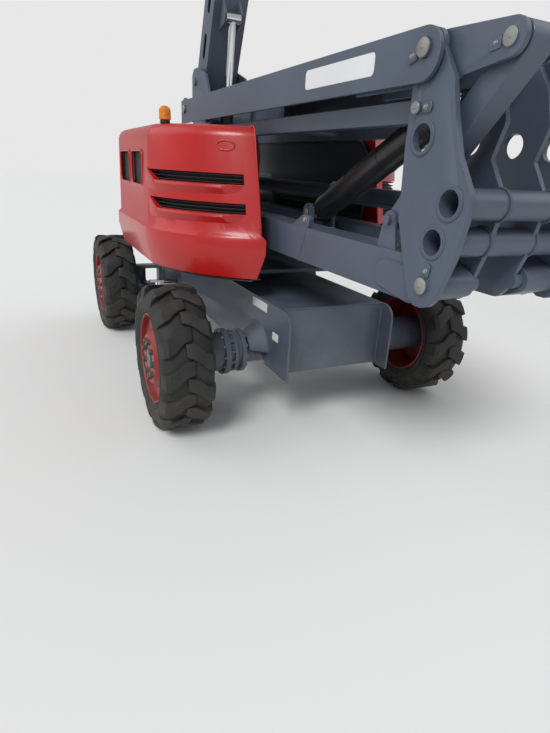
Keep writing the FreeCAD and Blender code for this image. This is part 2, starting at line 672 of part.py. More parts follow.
def bulkhead(side):
    """Inner wall beside the riser, with the tray below and the hinge rod above."""
    y0, y1 = WALL
    r = WALL_CORNER
    rear, front = WALL_X
    top = HOOD_TOP - 52
    wall = box(rear, front, y0, y1, TRAY_Z, top)
    corner = box(front - r, front, y0, y1, top - r, top)
    corner = corner.cut(rod_y((front - r, top - r), r, y0, y1))
    wall = wall.cut(corner)
    tray = hood_prism(HOOD_T + HOOD_TUCK + 10, TRAY_Z, TRAY_Z + TRAY_T)
    joiner = box(rear, 1300, y0, HOOD_IN + HOOD_TUCK + 40, TRAY_Z, TRAY_Z + TRAY_T)
    pieces = [wall, tray, joiner]
    for x in HINGE_X:
        for x0, x1 in ((x - 110, x - 61), (x + 61, x + 110)):
            pieces.append(box(x0, x1, y0, y1, top - 30, HINGE_Z))
            pieces.append(rod_x(HINGE_Y, HINGE_Z, 2 * HINGE_R, x0, x1))
        pieces.append(rod_x(HINGE_Y, HINGE_Z, HINGE_R, x - 110, x + 110))
    body = fuse(pieces)
    return body if side > 0 else mirror_y(body)


def engine():
    """The engine as one plain block on the right tray."""
    x0, x1, y0, y1, height = ENGINE
    z0 = TRAY_Z + TRAY_T + FIT
    return box(x0, x1, -y1, -y0, z0, z0 + height)


def tank():
    """Fuel and oil tanks as one plain block on the left tray."""
    x0, x1, y0, y1, height = TANK
    z0 = TRAY_Z + TRAY_T + FIT
    return box(x0, x1, y0, y1, z0, z0 + height)


def beacon():
    """Warning light on the right hood's roof."""
    x, y = BEACON_XY
    foot = HOOD_TOP - HOOD_INSET + FIT
    seat = foot + BEACON_FOOT
    base = rod_z(x, y, BEACON_R - 8, foot, seat)
    lens = rod_z(x, y, BEACON_R, seat, seat + BEACON_H)
    dome = Part.makeSphere(BEACON_R, V(x, y, seat + BEACON_H))
    dome = dome.common(rod_z(x, y, BEACON_R, seat + BEACON_H, seat + BEACON_H + 0.76 * BEACON_R))
    return fuse([base, lens, dome])


# Riser
def lower_riser():
    """Two box arms, joined by cross tubes, with bosses at both pins."""
    half = ARM_H / 2
    pieces = []
    for y0, y1 in both(ARM):
        nose = (P4[0] - ARM_NOSE_L, P4[1])
        tube = box(R0[0], nose[0], y0, y1, P4[1] - half, P4[1] + half)
        core = box(R0[0] + 150, nose[0] - 20, y0 + ARM_T, y1 - ARM_T,
                   P4[1] - half + ARM_T, P4[1] + half - ARM_T)
        pieces.append(tube.cut(core))
        pieces.append(strap(nose, P4, half, ARM_NOSE_R, y0, y1))
        pieces.append(rod_y(R0, half, y0, y1))
    for x in ARM_CROSS_X:
        pieces.append(rod_y((x, P4[1]), 60, -ARM[1], ARM[1]))
    for y0, y1 in both(RC_LUG):
        pieces.append(strap(RC_BASE, (RC_BASE[0], P4[1]), 62, 62, y0, y1))
    ear = strap((TIMING_PIN[0], P4[1] + half - 40), TIMING_PIN, 78, TIMING_R, 0, EAR_T)
    for y in (-LINK_BAY[1] - 1 - EAR_T, -LINK_BAY[0] + 1):
        piece = ear.copy()
        piece.translate(V(0, y, 0))
        pieces.append(piece)
    for y0, y1 in ((-TAIL_CHEEK[0] - 22, -LINK_BAY[1] - FIT), (-LINK_BAY[0] + FIT, -LINK_BAY[0] + 22)):
        pieces.append(rod_y(TIMING_PIN, LINK_PIN_R, y0, y1))
    for side in (-1, 1):
        patch = strap((P4[0] - 330, P4[1] - 6), (P4[0] - 130, P4[1] - 26), 66, 76, 0, PATCH_OUT)
        patch.translate(V(0, ARM[1] if side > 0 else -ARM[1] - PATCH_OUT, 0))
        pieces.append(patch)
    body = fuse(pieces)
    bores = [rod_y(P4, PIN_R + PIN_FIT, -500, 500), rod_y(R0, PIN_R + PIN_FIT, -500, 500)]
    bores.append(rod_y(RC_BASE, RC_PIN_R + PIN_FIT, -RC_LUG[1], RC_LUG[1]))
    return body.cut(bores)


def lower_link():
    y0, y1 = LINK_BAY
    bar = strap(L0, P3, LOWER_LINK_R, LOWER_LINK_R, y0, y1)
    waist = box(L0[0] + 120, P3[0] - 120, y0 - 5, y0 + 30, P3[1] - LINK_H / 2 + 8, P3[1] + LINK_H / 2 - 8)
    bar = bar.cut(waist)
    return bar.cut([rod_y(pin, LINK_PIN_R + PIN_FIT, 0, 500) for pin in (L0, P3)])


def mid_upright():
    """Four plates with three cross tubes; the outer two are the tall shaped ones."""
    outer = [(P1[0] - CHEEK_R, P1[1]), (P1[0] + CHEEK_R, P1[1])]
    outer += [(T2[0] + dx, T2[1] + dz) for dx, dz in UPRIGHT_NOSE]
    outer += [(P4[0] + dx, P4[1] + dz) for dx, dz in UPRIGHT_FOOT]
    outer += [(P3[0] - 70, P3[1] - 28), (P2[0] - 52, P2[1] - 138), (P2[0] - 52, P2[1] + 82)]
    inner = [(x - 95 if x > T2[0] - 37 else x, z) for x, z in outer]
    pieces = []
    for y0, y1 in both(OUTER_PLATE):
        plate = prism_y(outer, y0, y1).fuse(rod_y(P1, CHEEK_R, y0, y1))
        pieces.append(plate.fuse(rod_y(P3, 52, y0, y1)))
    for y0, y1 in both(INNER_PLATE):
        plate = prism_y(inner, y0, y1).fuse(rod_y(P1, CHEEK_R, y0, y1))
        pieces.append(plate)
    for spot in (T2, T3):
        pieces.append(rod_y(spot, CROSS_R, -OUTER_PLATE[1] - 6, OUTER_PLATE[1] + 6))
    for y0, y1 in both((OUTER_PLATE[0], OUTER_PLATE[1] + 6)):
        pieces.append(rod_y(T1, CROSS_R + 6, y0, y1))
    pin_out = OUTER_PLATE[1] + 12
    for y0, y1 in both((INNER_PLATE[0], SIDE_WALL[1] + 10)):
        pieces.append(rod_y(P1, PIN_R, y0, y1))
    for y0, y1 in both((INNER_PLATE[0], pin_out)):
        pieces.append(rod_y(P4, PIN_R, y0, y1))
    for y0, y1 in both((INNER_PLATE[0], UPPER_LINK[1] + GAP)) + both((OUTER_PLATE[0], pin_out)):
        pieces.append(rod_y(P2, LINK_PIN_R, y0, y1))
    pieces.append(rod_y(P3, LINK_PIN_R, INNER_PLATE[0], pin_out))
    body = fuse(pieces)
    for spot in (T2, T3, T1):
        body = body.cut(rod_y(spot, CROSS_R - CROSS_T, -500, 500))
    return body


def tail_profile(y0, y1):
    """Cheek from the riser to the tail pin."""
    outline = [(P1[0] - 560, WALL_TOP - TOP_T), (P1[0] + 40, WALL_TOP - TOP_T), (TAIL_PIN[0], TAIL_PIN[1] + TAIL_EYE_R),
               (TAIL_PIN[0], TAIL_PIN[1] - TAIL_EYE_R), (P1[0] + 60, WALL_TOP - WALL_H),
               (P1[0] - 560, WALL_TOP - WALL_H)]
    return prism_y(outline, y0, y1).fuse(rod_y(TAIL_PIN, TAIL_EYE_R, y0, y1))


def pin_groove(y0, y1):
    """Path of the upper link's front pin past an inner cheek."""
    reach = math.hypot(P2[0] - P1[0], P2[1] - P1[1])
    groove = rod_y(P1, reach + LINK_PIN_R + GAP, y0, y1).cut(rod_y(P1, reach - LINK_PIN_R - GAP, y0, y1))
    sector = prism_y([P1, polar(P1, 500, -14), polar(P1, 700, -60), polar(P1, 500, -100)], y0, y1)
    return groove.common(sector)


def upper_riser():
    """Inverted channel: top plate, outer walls with big end bosses, tail cheeks, timing pin."""
    z0, z1 = WALL_TOP - WALL_H, WALL_TOP
    front = P1[0] - 255
    rear = U1[0] - 110
    wide = SIDE_WALL[1]
    pieces = []
    top = box(rear, front, -wide, wide, z1 - TOP_T, z1)
    slot = box(rear - 10, U1[0] + 780, -UP_PLATE[1] - GAP, UP_PLATE[1] + GAP, z1 - 60, z1 + 10)
    pieces.append(top.cut(slot))
    for y0, y1 in both(SIDE_WALL):
        nose = (P1[0] - 12, (z0 + z1) / 2)
        wall = box(rear, nose[0], y0, y1, z0, z1)
        pieces.append(wall.fuse([rod_y(nose, WALL_H / 2, y0, y1), rod_y(U1, BOSS_R_REAR, y0, y1)]))
    for y0, y1 in both(TAIL_CHEEK):
        pieces.append(tail_profile(y0, y1))
    for y0, y1 in both(INNER_CHEEK):
        pieces.append(tail_profile(y0, y1).cut(pin_groove(y0, y1)))
    for y0, y1 in both((UP_PLATE[1] + GAP, UP_PLATE[1] + GAP + 20)):
        cheek = box(rear, U1[0] + 800, y0, y1, U1[1] - REAR_CHEEK_DROP, z1)
        pieces.append(cheek.fuse(rod_y(U1, BOSS_R_REAR, y0, y1)))
    pieces.append(rod_y(TAIL_PIN, PIN_R - 5, -TAIL_CHEEK[1] - 5, -INNER_CHEEK[0] + 5))
    pieces.append(rod_y(TAIL_PIN, PIN_R - 5, INNER_CHEEK[0] - 5, TAIL_CHEEK[1] + 5))
    body = fuse(pieces)
    return body.cut([rod_y(P1, PIN_R + PIN_FIT, -500, 500), rod_y(U1, PIN_R + PIN_FIT, -500, 500)])


def upper_link():
    pieces = []
    for y0, y1 in both(UPPER_LINK):
        pieces.append(strap(U2, P2, UPPER_LINK_R, UPPER_LINK_R, y0, y1))
    cross = rod_y(((U2[0] + P2[0]) / 2, P2[1]), 30, -UPPER_LINK[0] - 10, UPPER_LINK[0] + 10)
    body = fuse(pieces + [cross])
    return body.cut([rod_y(pin, LINK_PIN_R + PIN_FIT, -500, 500) for pin in (U2, P2)])


def timing_link():
    y0, y1 = -LINK_BAY[1], -LINK_BAY[0]
    bar = strap(TAIL_PIN, TIMING_PIN, 60, TIMING_R, y0, y1)
    return bar.cut(rod_y(TAIL_PIN, PIN_R - 5 + PIN_FIT, -500, 0))


def riser_cylinder():
    base, tip = RC_BASE, P1
    angle = math.degrees(math.atan2(tip[1] - base[1], tip[0] - base[0]))
    eye_half = RC_LUG[0] - FIT
    barrel = rod_x(0, base[1], RC_BARREL_R, base[0] + 90, base[0] + RC_BARREL_L)
    head = rod_x(0, base[1], RC_BARREL_R + 12, base[0] + RC_BARREL_L - 60, base[0] + RC_BARREL_L)
    eye = rod_y(base, 60, -eye_half, eye_half)
    neck = box(base[0], base[0] + 110, -48, 48, base[1] - 48, base[1] + 48)
    pin = rod_y(base, RC_PIN_R, -RC_LUG[1] - 6, RC_LUG[1] + 6)
    bore = rod_x(0, base[1], RC_ROD_R + PIN_FIT, base[0] + 130, base[0] + RC_BARREL_L + 10)
    barrel_body = fuse([barrel, head, eye, neck, pin]).cut(bore)
    length = math.hypot(tip[0] - base[0], tip[1] - base[1])
    rod = rod_x(0, base[1], RC_ROD_R, base[0] + 400, base[0] + length - 40)
    rod_eye = rod_y((base[0] + length, base[1]), 62, -RC_EYE_HALF, RC_EYE_HALF)
    rod_body = fuse([rod, rod_eye])
    return turned(barrel_body, base, angle), turned(rod_body, base, angle)


# Upper upright, main boom and its cylinder
def upper_upright():
    outline = [(C0[0] - 100, C0[1] - 70), (C0[0] + 85, C0[1] - 70), (C0[0] + 95, C0[1] + 160),
               (U2[0] + 96, U2[1] - 120), (U1[0] + 110, U1[1] + 60), (U1[0] - 60, B0[1] + 40),
               (B0[0] + 60, B0[1] + 118), (B0[0] - 60, B0[1] + 118), (B0[0] - 118, B0[1] + 60),
               (B0[0] - 118, B0[1] - 160), (B0[0] - 60, U2[1] - 250)]
    pieces = [prism_y(outline, y0, y1) for y0, y1 in both(UP_PLATE)]
    for spot, r in (((B0[0] - 20, B0[1] - 330), 50), ((C0[0] - 130, C0[1] + 330), 45)):
        pieces.append(rod_y(spot, r, -UP_PLATE[0], UP_PLATE[0]))
    for y0, y1 in both((UP_PLATE[0], SIDE_WALL[1] + 8)):
        pieces.append(rod_y(U1, PIN_R, y0, y1))
    for y0, y1 in both((UP_PLATE[0], LINK_BAY[1] + 12)):
        pieces.append(rod_y(U2, LINK_PIN_R, y0, y1))
    pieces.append(rod_y(B0, BOOM_PIN_R, -UP_PLATE[1] - 18, UP_PLATE[1] + 18))
    for y0, y1 in both((BC_BARREL_R + 12, UP_PLATE[0])):
        pieces.append(rod_y(C0, 58, y0, y1))
    return fuse(pieces)


def main_boom():
    """Base section of the telescopic boom, drawn level and then raised."""
    x0, x1 = B0[0] - BOOM_TAIL, B0[0] + BOOM_L
    half_w, half_h = BOOM_W / 2, BOOM_H / 2
    tube = box(x0, x1, -half_w, half_w, B0[1] - half_h, B0[1] + half_h)
    core = box(x0 - 1, x1 + 1, -half_w + BOOM_T, half_w - BOOM_T,
               B0[1] - half_h + BOOM_T, B0[1] + half_h - BOOM_T)
    tube = tube.cut(core)
    collar = box(x1 - 130, x1, -half_w - 14, half_w + 14, B0[1] - half_h - 14, B0[1] + half_h + 14)
    collar = collar.cut(core)
    pivot = rod_y(B0, 78, -UP_PLATE[0] + 6, UP_PLATE[0] - 6)
    eye = (B0[0] + BC_EYE[0], B0[1] + BC_EYE[1])
    pieces = [tube, collar, pivot]
    for y0, y1 in both((BC_BARREL_R + 6, BC_BARREL_R + 6 + LUG_T)):
        pieces.append(prism_y([(eye[0] - 130, B0[1] - half_h + 5), (eye[0] + 130, B0[1] - half_h + 5),
                               (eye[0] + 46, eye[1] - 30), (eye[0] - 46, eye[1] - 30)], y0, y1))
    for side in (-1, 1):
        low, high = sorted((side * (FLY_W / 2 + FIT), side * (half_w - BOOM_T + 1)))
        pieces.append(box(x1 - 10 - PAD_L, x1 - 10, low, high, B0[1] - 60, B0[1] + 60))
        low, high = sorted((side * (FLY_H / 2 + FIT), side * (half_h - BOOM_T + 1)))
        pieces.append(box(x1 - 10 - PAD_L, x1 - 10, -80, 80, B0[1] + low, B0[1] + high))
    body = fuse(pieces)
    for x in BOOM_HOLES:
        start, end = (B0[0] + x, B0[1]), (B0[0] + x + BOOM_HOLE_L, B0[1])
        body = body.cut(strap(start, end, BOOM_HOLE_R, BOOM_HOLE_R, -BOOM_W, BOOM_W))
    body = body.cut(rod_y(B0, BOOM_PIN_R + PIN_FIT, -500, 500))
    return turned(body, B0, BOOM_UP)


def boom_cylinder():
    eye = polar(B0, math.hypot(*BC_EYE), BOOM_UP + math.degrees(math.atan2(BC_EYE[1], BC_EYE[0])))
    angle = math.degrees(math.atan2(eye[1] - C0[1], eye[0] - C0[0]))
    length = math.hypot(eye[0] - C0[0], eye[1] - C0[1])
    barrel = rod_x(0, C0[1], BC_BARREL_R, C0[0] + 50, C0[0] + BC_BARREL_L)
    head = rod_x(0, C0[1], BC_BARREL_R + 8, C0[0] + BC_BARREL_L - 50, C0[0] + BC_BARREL_L)
    foot = rod_y(C0, 54, -BC_BARREL_R - 11.5, BC_BARREL_R + 11.5)
    bore = rod_x(0, C0[1], BC_ROD_R + PIN_FIT, C0[0] + 80, C0[0] + BC_BARREL_L + 10)
    rod = rod_x(0, C0[1], BC_ROD_R, C0[0] + 110 + length - BC_STROKE_ROD, C0[0] + length - 20)
    rod_eye = rod_y((C0[0] + length, C0[1]), 44, -BC_BARREL_R - 5.5, BC_BARREL_R + 5.5)
    barrel_body = fuse([barrel, head, foot]).cut(bore)
    return turned(barrel_body, C0, angle), turned(fuse([rod, rod_eye]), C0, angle)


def fly_boom():
    half_w, half_h = FLY_W / 2, FLY_H / 2
    x0, x1 = B0[0] + FLY_START, B0[0] + FLY_PIN - FLY_NOSE
    tube = box(x0, x1, -half_w, half_w, B0[1] - half_h, B0[1] + half_h)
    tube = tube.cut(box(x0 - 1, x1 - 40, -half_w + FLY_T, half_w - FLY_T,
                        B0[1] - half_h + FLY_T, B0[1] + half_h - FLY_T))
    pads = []
    for side in (-1, 1):
        inner = half_w - 2
        outer = BOOM_W / 2 - BOOM_T - FIT
        low, high = sorted((side * inner, side * outer))
        pads.append(box(x0, x0 + 160, low, high, B0[1] - 60, B0[1] + 60))
        low, high = sorted((side * (half_h - 2), side * (BOOM_H / 2 - BOOM_T - FIT)))
        pads.append(box(x0, x0 + 160, -80, 80, B0[1] + low, B0[1] + high))
    head = []
    tip = (B0[0] + FLY_PIN, B0[1])
    for y0, y1 in both((KNUCKLE_HALF + FIT, KNUCKLE_HALF + 25)):
        head.append(strap((tip[0] - 150, tip[1]), tip, 90, 62, y0, y1))
    head.append(rod_y(tip, TIP_PIN_R, -KNUCKLE_HALF - 35, KNUCKLE_HALF + 35))
    return turned(fuse([tube] + pads + head), B0, BOOM_UP)


def tip_point():
    return polar(B0, FLY_PIN, BOOM_UP)


def jib_points():
    """The arm's pins at the knuckle and at the platform end, then the ram's two pins."""
    tip = tip_point()
    base = (tip[0] + 210, tip[1] + 20)
    foot = (base[0] + JC_BASE[0], base[1] + JC_BASE[1])
    eye = (base[0] + JC_EYE[0], base[1] + JC_EYE[1])
    return base, (base[0] + JIB_L, base[1]), foot, eye


def jib_stubs(pin):
    """Pins from the side plates inward: two for the arm's tubes, one for the level link."""
    stubs = [rod_y(pin, JIB_PIN_R, y0, y1) for y0, y1 in both((JIB_BAR[0], JIB_PLATE[1] + 8))]
    link = (pin[0], pin[1] + JIB_RISE)
    stubs.append(rod_y(link, JIB_LINK_PIN_R, JIB_LINK[0] - 2, JIB_PLATE[1] + 8))
    return stubs


def level_knuckle():
    """Head that stays level on the fly boom and carries the jib."""
    tip = tip_point()
    base, _, foot, _ = jib_points()
    back, top, low = base[0] - 105, base[1] + JIB_RISE + 42, foot[1] - 45
    eye = rod_y(tip, 62, -KNUCKLE_HALF, KNUCKLE_HALF)
    web = prism_y([(tip[0], tip[1] - 50), (tip[0], tip[1] + 50), (back + 10, base[1] + 90),
                   (back + 10, low + 40), (back - 30, tip[1] - 100)],
                  -KNUCKLE_HALF + 20, KNUCKLE_HALF - 20)
    pieces = [eye, web]
    outline = [(back, top - 60), (base[0] - 45, top), (base[0] + 45, top), (base[0] + 62, base[1]),
               (foot[0] + 50, low + 20), (foot[0] + 30, low), (back, low)]
    for y0, y1 in both(JIB_PLATE):
        pieces.append(prism_y(outline, y0, y1))
    pieces.append(box(back, back + 26, -JIB_PLATE[0] - 1, JIB_PLATE[0] + 1, low, top - 60))
    pieces += jib_stubs(base)
    for y0, y1 in both((JC_HALF + FIT, JIB_PLATE[1] + 8)):
        pieces.append(rod_y(foot, JC_BARREL_R - 4, y0, y1))
    return fuse(pieces).cut(rod_y(tip, TIP_PIN_R + PIN_FIT, -200, 200))


def jib_arm():
    """Two parallel tubes, joined beyond the ram's reach, with lugs for its eye."""
    base, tip, _, eye = jib_points()
    low, high = base[1] - JIB_H / 2, base[1] + JIB_H / 2
    pieces = []
    for y0, y1 in both(JIB_BAR):
        tube = box(base[0], tip[0], y0, y1, low, high)
        core = box(base[0] + 80, tip[0] - 80, y0 + JIB_T, y1 - JIB_T, low + JIB_T, high - JIB_T)
        pieces += [tube.cut(core), rod_y(base, JIB_H / 2, y0, y1), rod_y(tip, JIB_H / 2, y0, y1)]
        pieces.append(strap((eye[0], low + 30), eye, 70, 40, y0, y1))
    for x in JIB_CROSS_X:
        pieces.append(rod_y((base[0] + x, base[1]), 38, -JIB_BAR[0] - 4, JIB_BAR[0] + 4))
    body = fuse(pieces)
    return body.cut([rod_y(pin, JIB_PIN_R + PIN_FIT, -200, 200) for pin in (base, tip)])


def jib_link():
    base, tip, _, _ = jib_points()
    ends = [(pin[0], pin[1] + JIB_RISE) for pin in (base, tip)]
    bar = strap(ends[0], ends[1], JIB_LINK_R, JIB_LINK_R, JIB_LINK[0], JIB_LINK[1])
    return bar.cut([rod_y(pin, JIB_LINK_PIN_R + PIN_FIT, 0, 200) for pin in ends])


def jib_cylinder():
    _, _, foot, eye = jib_points()
    angle = math.degrees(math.atan2(eye[1] - foot[1], eye[0] - foot[0]))
    length = math.hypot(eye[0] - foot[0], eye[1] - foot[1])
    boss = rod_y(foot, JC_BARREL_R + 2, -JC_HALF, JC_HALF)
    barrel = rod_x(0, foot[1], JC_BARREL_R, foot[0], foot[0] + JC_BARREL_L)
    head = rod_x(0, foot[1], JC_BARREL_R + 6, foot[0] + JC_BARREL_L - 40, foot[0] + JC_BARREL_L)
    bore = rod_x(0, foot[1], JC_ROD_R + PIN_FIT, foot[0] + 50, foot[0] + JC_BARREL_L + 10)
    rod = rod_x(0, foot[1], JC_ROD_R, foot[0] + JC_ROD_IN, foot[0] + length)
    rod_eye = rod_y((foot[0] + length, foot[1]), 33, -JIB_BAR[0] + FIT, JIB_BAR[0] - FIT)
    barrel_body = fuse([boss, barrel, head]).cut(bore)
    return turned(barrel_body, foot, angle), turned(fuse([rod, rod_eye]), foot, angle)


def platform_places():
    """X of the turning post, then the platform's floor level and near side."""
    _, tip, _, _ = jib_points()
    post_x = tip[0] + POST_X
    return post_x, tip[1] - PLAT_DROP, post_x + PLAT_NEAR


def platform_head():
    """Fork at the jib's end with the upright post that the platform turns on."""
    _, tip, _, _ = jib_points()
    post_x, floor_z, _ = platform_places()
    top, low = tip[1] + JIB_RISE + 42, tip[1] - POST_LOW
    pieces = []
    outline = [(tip[0] - 55, tip[1] - 40), (tip[0] - 35, top), (tip[0] + 40, top), (tip[0] + 110, tip[1] + 90),
               (tip[0] + 110, low), (tip[0] + 60, low)]
    for y0, y1 in both(JIB_PLATE):
        pieces.append(prism_y(outline, y0, y1))
    pieces.append(box(tip[0] + 84, tip[0] + 110, -JIB_PLATE[0] - 1, JIB_PLATE[0] + 1, low, tip[1] + 90))
    pieces.append(box(tip[0] + 100, post_x, -50, 50, low, low + 90))
    pieces.append(rod_z(post_x, 0, 62, low, low + 120))
    pieces.append(rod_z(post_x, 0, POST_R, floor_z - 20, low))
    return fuse(pieces + jib_stubs(tip))


def rail(a, b, r=RAIL_R):
    return rod_between(V(*a), V(*b), r)


def platform_basket():
    """Floor tray on its turning sleeve, with guard rails open at the left end."""
    post_x, floor_z, near = platform_places()
    _, tip, _, _ = jib_points()
    far, side = near + PLAT_X, PLAT_Y / 2
    base = floor_z + DECK_T
    deck = box(near, far, -side, side, floor_z, base)
    deck = deck.cut(box(near + 30, far - 30, -side + 30, side - 30, floor_z - 1, base - 8))
    low, high = floor_z - 20, tip[1] - POST_LOW - FIT
    sleeve = rod_z(post_x, 0, 60, low, high)
    arm = box(post_x, near + 40, -60, 60, floor_z + 6, high - 10)
    pieces = [deck, sleeve.fuse(arm).cut(rod_z(post_x, 0, POST_R + PIN_FIT, 0, 20000))]
    x0, x1, y0, y1 = near + RAIL_IN, far - RAIL_IN, -side + RAIL_IN, side - RAIL_IN
    top = base + RAIL_H - RAIL_R
    for x in (x0, x1):
        for y in (y0, y0 / 2, 0, y1 / 2, y1):
            pieces.append(rail((x, y, base - 4), (x, y, top), RAIL_R - 2))
        pieces.append(box(x - TOE_T / 2, x + TOE_T / 2, y0, y1, base - 4, base + TOE_H))
    pieces.append(box(x0, x1, y0 - TOE_T / 2, y0 + TOE_T / 2, base - 4, base + TOE_H))
    for z in (top, base + MID_RAIL):
        for x in (x0, x1):
            pieces.append(rail((x, y0 - RAIL_R + 4, z), (x, y1 + RAIL_R - 4, z)))
        pieces.append(rail((x0, y0, z), (x1, y0, z)))
    gate_x = x0 + GATE_IN
    for z in GATE_STRAPS:
        pieces.append(box(x0, gate_x - RAIL_R - FIT, y1 - 8, y1 + 8, base + z - 25, base + z + 25))
    return pieces[0].fuse(pieces[1:])


def platform_gate():
    """Swing gate between the left corner posts, which turns about its own near post."""
    _, floor_z, near = platform_places()
    base = floor_z + DECK_T
    y = PLAT_Y / 2 - RAIL_IN
    x0, x1 = near + RAIL_IN + GATE_IN, near + PLAT_X - RAIL_IN - GATE_IN
    top = base + RAIL_H - RAIL_R
    low = base + GATE_LOW
    pieces = [rail((x, y, low), (x, y, top), RAIL_R - 2) for x in (x0, x1)]
    for z in (low, base + MID_RAIL, top):
        pieces.append(rail((x0, y, z), (x1, y, z)))
    return fuse(pieces)


def control_box():
    """Console that hangs on the near rails, inside the platform."""
    _, floor_z, near = platform_places()
    z0 = floor_z + DECK_T + MID_RAIL + RAIL_R + 1
    x0 = near + RAIL_IN + RAIL_R + FIT
    return prism_y([(x0 + x, z0 + z) for x, z in CONSOLE], -CONSOLE_HALF, CONSOLE_HALF)


def main():
    os.makedirs("parts", exist_ok=True)
    nodes = {
        "chassis_frame": chassis_frame(),
        "axle_fixed": axle_fixed(),
        "axle_steer": axle_steer(),
        "knuckle_left": knuckle(1),
        "knuckle_right": knuckle(-1),
        "steer_rod": steer_rod(),
        "turret_frame": turret_frame(),
        "counterweight": counterweight(),
        "hood_left": hood(1),
        "hood_right": hood(-1),
        "bulkhead_left": bulkhead(1),
        "bulkhead_right": bulkhead(-1),
        "engine_block": engine(),
        "tank_block": tank(),
        "beacon": beacon(),
        "lower_riser": lower_riser(),
        "lower_link": lower_link(),
        "mid_upright": mid_upright(),
        "upper_riser": upper_riser(),
        "upper_link": upper_link(),
        "timing_link": timing_link(),
        "upper_upright": upper_upright(),
        "main_boom": main_boom(),
        "fly_boom": fly_boom(),
        "level_knuckle": level_knuckle(),
        "jib_arm": jib_arm(),
        "jib_link": jib_link(),
        "platform_head": platform_head(),
        "platform_basket": platform_basket(),
        "platform_gate": platform_gate(),
        "control_box": control_box(),
    }
    nodes["riser_barrel"], nodes["riser_rod"] = riser_cylinder()
    nodes["boom_barrel"], nodes["boom_rod"] = boom_cylinder()
    nodes["jib_barrel"], nodes["jib_rod"] = jib_cylinder()
    corners = {"front_left": (1, AXLE_X), "front_right": (-1, AXLE_X),
               "rear_left": (1, -AXLE_X), "rear_right": (-1, -AXLE_X)}
    for name, (side, x) in corners.items():
        nodes["tyre_" + name] = tyre(side, x)
        nodes["rim_" + name] = rim(side, x)
    for name, shape in nodes.items():
        shape.exportStep("parts/" + name + ".step")
        print(name, len(shape.Solids), "solid(s)", round(shape.Volume / 1e9, 4), "m3", shape.isValid())


main()
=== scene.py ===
"""Finish for an articulating boom lift: paint, moulded covers, tyres, welds, pins and fittings.

Metres, in the machine's own frame: X points the way the boom points, Y to the left, Z up.
"""
import json
from math import acos, asin, cos, pi, radians, sin

import bmesh
import bpy
from mathutils import Matrix, Vector


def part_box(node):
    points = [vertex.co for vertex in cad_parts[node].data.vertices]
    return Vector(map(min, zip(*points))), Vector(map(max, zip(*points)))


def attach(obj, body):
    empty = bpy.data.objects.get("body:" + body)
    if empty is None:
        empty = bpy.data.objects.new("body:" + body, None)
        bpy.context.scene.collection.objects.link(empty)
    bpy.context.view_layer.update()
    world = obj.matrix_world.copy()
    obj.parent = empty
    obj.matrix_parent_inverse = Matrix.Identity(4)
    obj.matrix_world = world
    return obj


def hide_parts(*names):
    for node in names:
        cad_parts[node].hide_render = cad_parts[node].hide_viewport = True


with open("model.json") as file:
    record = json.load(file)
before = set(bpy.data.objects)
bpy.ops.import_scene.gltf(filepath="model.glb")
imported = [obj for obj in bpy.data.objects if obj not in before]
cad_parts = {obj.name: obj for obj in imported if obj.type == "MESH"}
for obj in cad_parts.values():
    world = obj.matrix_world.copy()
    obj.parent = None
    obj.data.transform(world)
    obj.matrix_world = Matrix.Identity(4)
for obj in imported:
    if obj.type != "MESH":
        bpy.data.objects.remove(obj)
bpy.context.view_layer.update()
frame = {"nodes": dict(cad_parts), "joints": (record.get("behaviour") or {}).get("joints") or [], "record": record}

bl_info = {
    "name": "Boom lift finish",
    "version": (1, 0, 0),
    "blender": (4, 5, 0),
    "location": "3D View > Sidebar > Boom lift",
    "description": "Paint, covers, tyres and fittings for an articulating boom lift",
    "category": "Object",
}

PIN = {joint["name"]: Vector(joint["pos_m"]) for joint in frame["joints"]}
WAY = {joint["name"]: Vector(joint["axis"]).normalized() for joint in frame["joints"]}
SIDES = (("left", 1), ("right", -1))
WHEELS = ("front_left", "front_right", "rear_left", "rear_right")
AHEAD, LEFT, UP = Vector((1, 0, 0)), Vector((0, 1, 0)), Vector((0, 0, 1))

# The upright's cross tubes in side view, which no joint marks
CROSS_TUBES = ((2.772, 1.927), (2.987, 1.687), (2.928, 1.530))
CROSS_R = 0.062
PLATE_FACE = 0.403            # outer face of the upright's outer plates
WALL_FACE = 0.430             # outer face of the upper riser's side walls
ARM_FACE = 0.360              # outer face of the lower riser's arms
ARM_HALF = 0.1035             # half the arms' depth
ARM_SEAM_X = 1.74             # slanted seam across the arms

# Camera, fitted to the picture
CAMERA_AT = (4.564, -1.901, 1.785)
CAMERA_TURN = 26.38           # from straight back, toward the left side
CAMERA_DIP = 21.46
CAMERA_ROLL = 3.27
CAMERA_LENS = 24.9


class LiftColours(bpy.types.PropertyGroup):
    """Colours of the finishes, in linear light."""

    def tint(name, text, colour):
        return bpy.props.FloatVectorProperty(
            name=name, description=text, subtype="COLOR", size=3, min=0, max=1, default=colour)

    steel: tint("Steel paint", "Blue-grey paint of the chassis, risers and booms", (0.068, 0.087, 0.124))
    cover: tint("Cover red", "Gel coat of the engine covers", (0.44, 0.008, 0.008))
    rim: tint("Rim red", "Paint of the wheel rims", (0.26, 0.012, 0.011))
    rubber: tint("Rubber", "Tyre rubber", (0.014, 0.014, 0.015))
    dust: tint("Dust", "Dry dirt on low and upward faces", (0.19, 0.165, 0.13))
    bulkhead: tint("Bulkhead grey", "Inner walls beside the riser", (0.036, 0.040, 0.044))
    black: tint("Black paint", "Cylinder barrels and blocks", (0.012, 0.012, 0.013))
    amber: tint("Amber", "Lens of the warning light", (0.95, 0.30, 0.01))
    plate: tint("Plate", "Blank plates", (0.72, 0.73, 0.75))
    floor: tint("Floor", "Studio floor and backdrop", (0.80, 0.80, 0.79))


